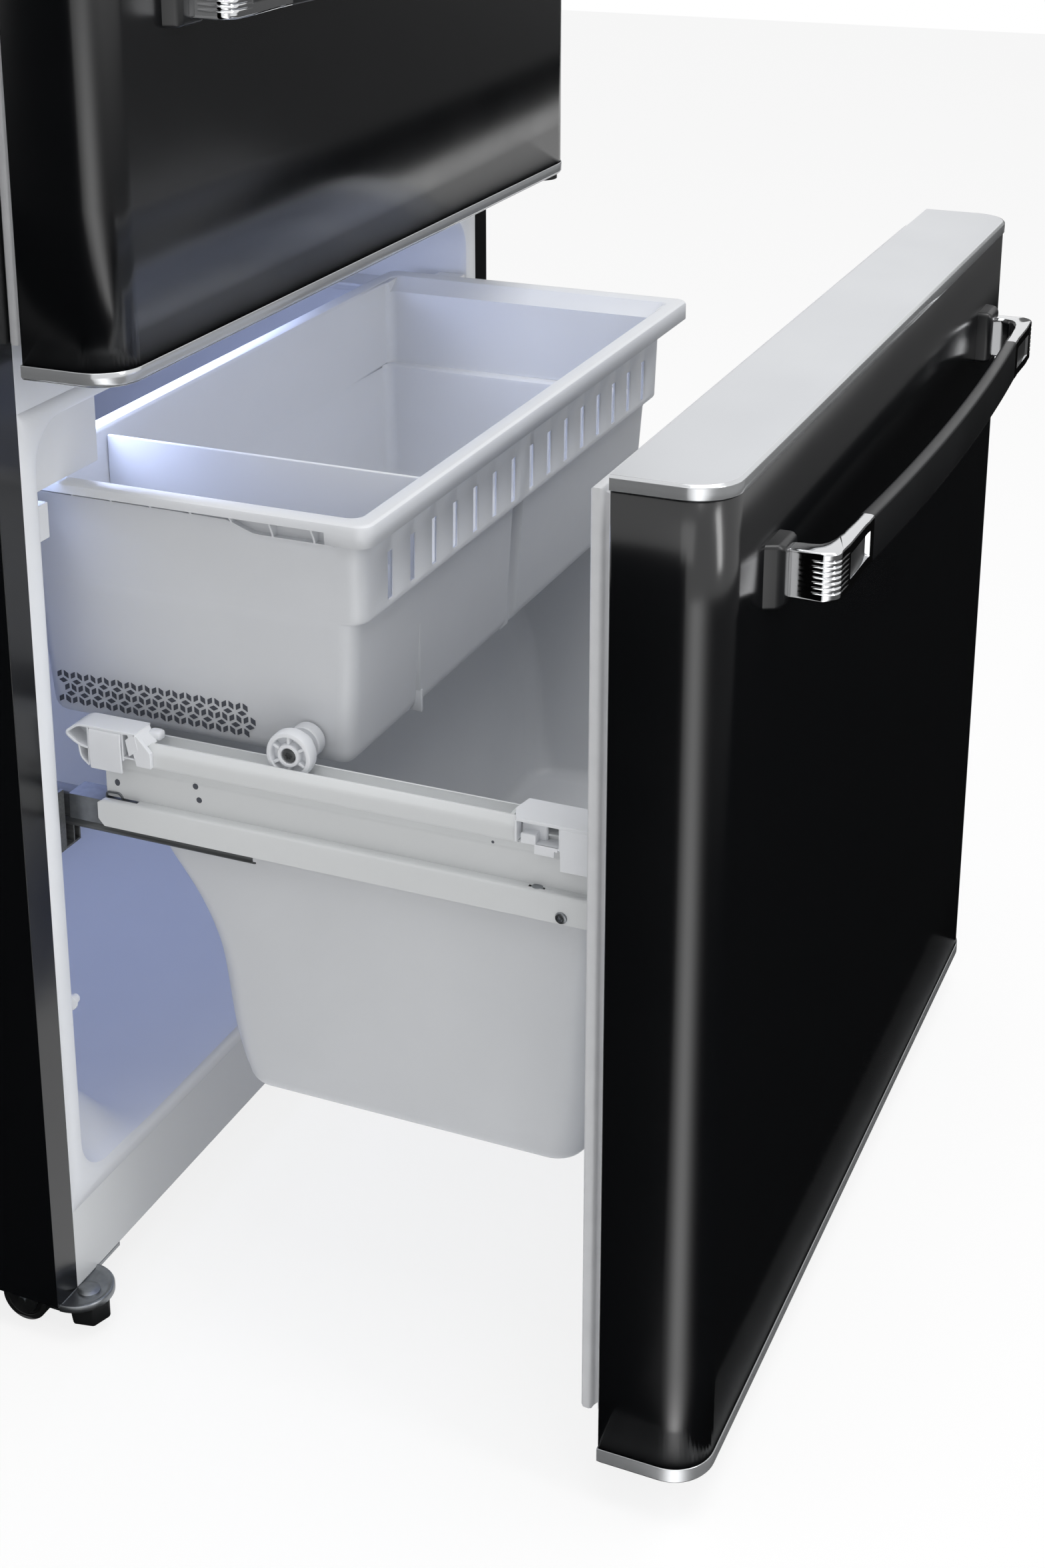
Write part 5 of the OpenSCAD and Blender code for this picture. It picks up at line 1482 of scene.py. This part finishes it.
class FRIDGE_OT_bin(bpy.types.Operator):
    """Make the deep bin"""

    bl_idname = "fridge.bin"
    bl_label = "Deep bin"

    def execute(self, context):
        bin_shell()
        return {"FINISHED"}


class FRIDGE_OT_rails(bpy.types.Operator):
    """Make the drawer rails, their guides and the telescopic slides"""

    bl_idname = "fridge.rails"
    bl_label = "Rails and slides"

    def execute(self, context):
        for side in SIDES:
            folded_rail(side)
        rail_hole_shades()
        rail_guides()
        slide_catches()
        softened("drawer_slides", "zinc", 0.3)
        rolled_slides()
        softened("cabinet_slides", "dark", 0.4)
        softened("basket_side_rails", "plastic", 1.5)
        drawer_screws()
        return {"FINISHED"}


class FRIDGE_OT_freezer(bpy.types.Operator):
    """Make the formed freezer liner and finish what stands in it"""

    bl_idname = "fridge.freezer"
    bl_label = "Freezer space"

    def execute(self, context):
        freezer_tub()
        freezer_details()
        softened("icemaker_housing", "plastic", 2.0)
        softened("ice_tray", "clear", 0.4)
        softened("evaporator_cover", "plastic", 0.6)
        softened("evaporator_fan", "abs", 0.3)
        paint(frame["nodes"]["evaporator_coil"], "fins")
        return {"FINISHED"}


class FRIDGE_OT_cabinet(bpy.types.Operator):
    """Finish the shell, the covers, the hinges and the machine space"""

    bl_idname = "fridge.cabinet"
    bl_label = "Cabinet"

    def execute(self, context):
        softened("cabinet_shell", "enamel", 0.5)
        softened("hinge_cover", "abs", 1.5)
        softened("top_hinge", "zinc", 0.5)
        softened("middle_hinge", "abs", 0.8)
        softened("mullion_cover", "liner", 0.4)
        softened("plinth_panel", "sheet", 0.4)
        softened("condenser_fan", "abs", 0.3)
        hidden = {"cabinet_back": "zinc", "base_pan": "zinc", "machine_cover": "zinc", "insulation": "foam",
                  "compressor": "bar", "condenser_coil": "bar", "drain_pan": "abs"}
        for node, kind in hidden.items():
            paint(frame["nodes"][node], kind)
        return {"FINISHED"}


class FRIDGE_OT_fresh_food(bpy.types.Operator):
    """Finish the fresh-food space: liner, shelves, crispers, door bins and air duct"""

    bl_idname = "fridge.fresh_food"
    bl_label = "Fresh-food space"

    def execute(self, context):
        softened("fridge_liner", "liner", 1.2)
        softened("glass_shelves", "glass", 0.8)
        softened("air_duct", "plastic", 2.0)
        softened("door_bins", "clear", 1.0)
        for side in SIDES.values():
            softened("crisper_" + side, "clear", 0)
        return {"FINISHED"}


class FRIDGE_OT_feet(bpy.types.Operator):
    """Make the levelling feet and their plates, and finish the rollers"""

    bl_idname = "fridge.feet"
    bl_label = "Feet and rollers"

    def execute(self, context):
        foot_plates()
        for side in SIDES:
            hex_foot(side)
        for end in ("front_", "rear_"):
            for side in SIDES.values():
                softened("roller_" + end + side, "abs", 1.0)
        return {"FINISHED"}


class FRIDGE_OT_stage(bpy.types.Operator):
    """Set the floor, the soft lights, the world and the camera"""

    bl_idname = "fridge.stage"
    bl_label = "Stage"

    def execute(self, context):
        p = context.scene.fridge_stage
        context.scene.view_settings.view_transform = "Standard"
        world_light(p.world_level)
        floor(0.82)
        area_light("key soft box", (-0.9, -3.6, 2.4), (0, -0.2, 0.6), (0.7, 2.4), p.key_power)
        area_light("left soft box", (-3.2, -0.6, 2.6), (0, -0.2, 0.6), (1.6, 1.6), 9.0)
        area_light("top soft box", (-0.3, -1.0, 3.6), (0, -0.3, 0.5), (2.4, 2.0), 62.0)
        area_light("freezer lamp", (0.05, 0.38, 0.66), (-0.1, 0.0, 0.15), (0.3, 0.12), 0.55, "#b9c8ff")
        area_light("ceiling lamp", (-0.12, 0.06, 0.725), (-0.06, -0.25, 0.5), (0.5, 0.06), 1.3, "#ccd8ff")
        q, lift, drawer_side, cabinet_front = 7, 0.003, -0.37, -0.45
        corner = (-q, cabinet_front, lift)
        before = [(-q, -q, lift), (q, -q, lift), (q, cabinet_front, lift), corner]
        beside = [(drawer_side, cabinet_front, lift), (drawer_side, 6, lift), (-q, 6, lift), corner]
        strip_card("floor card", before, (-0.376, -0.506), 205, 22, 2.3)
        card("left floor card", beside, "#030303")
        card("left wall card", [(-q, -0.5, 0), (-q, q, 0), (-q, q, 4), (-q, -0.5, 4)], "#050505")
        card("right wall card", [(q, -q, 0), (q, 0.5, 0), (q, 0.5, 2.2), (q, -q, 2.2)], "#6a6a6a")
        camera()
        return {"FINISHED"}


class FRIDGE_PT_panel(bpy.types.Panel):
    """Buttons for the refrigerator's pieces, with their settings"""

    bl_idname = "FRIDGE_PT_panel"
    bl_label = "Refrigerator"
    bl_space_type = "VIEW_3D"
    bl_region_type = "UI"
    bl_category = "Refrigerator"

    def draw(self, context):
        for op in OPERATORS:
            self.layout.operator(op.bl_idname)
        for group in SETTINGS:
            box = self.layout.box()
            settings = getattr(context.scene, group)
            for name in settings.__annotations__:
                box.prop(settings, name)


OPERATORS = (
    FRIDGE_OT_fronts,
    FRIDGE_OT_caps,
    FRIDGE_OT_seals,
    FRIDGE_OT_handles,
    FRIDGE_OT_basket,
    FRIDGE_OT_bin,
    FRIDGE_OT_rails,
    FRIDGE_OT_freezer,
    FRIDGE_OT_cabinet,
    FRIDGE_OT_fresh_food,
    FRIDGE_OT_feet,
    FRIDGE_OT_stage,
)
SETTINGS = {
    "fridge_finishes": FinishSettings,
    "fridge_fronts": FrontSettings,
    "fridge_handles": HandleSettings,
    "fridge_basket": BasketSettings,
    "fridge_stage": StageSettings,
}


def register():
    for name, group in SETTINGS.items():
        bpy.utils.register_class(group)
        setattr(bpy.types.Scene, name, PointerProperty(type=group))
    for cls in (*OPERATORS, FRIDGE_PT_panel):
        bpy.utils.register_class(cls)


def unregister():
    for cls in reversed((*OPERATORS, FRIDGE_PT_panel)):
        bpy.utils.unregister_class(cls)
    for name, group in reversed(SETTINGS.items()):
        delattr(bpy.types.Scene, name)
        bpy.utils.unregister_class(group)


def main():
    register()
    for op in OPERATORS:
        getattr(bpy.ops.fridge, op.bl_idname.split(".")[1])()


if __name__ == "__main__":
    main()
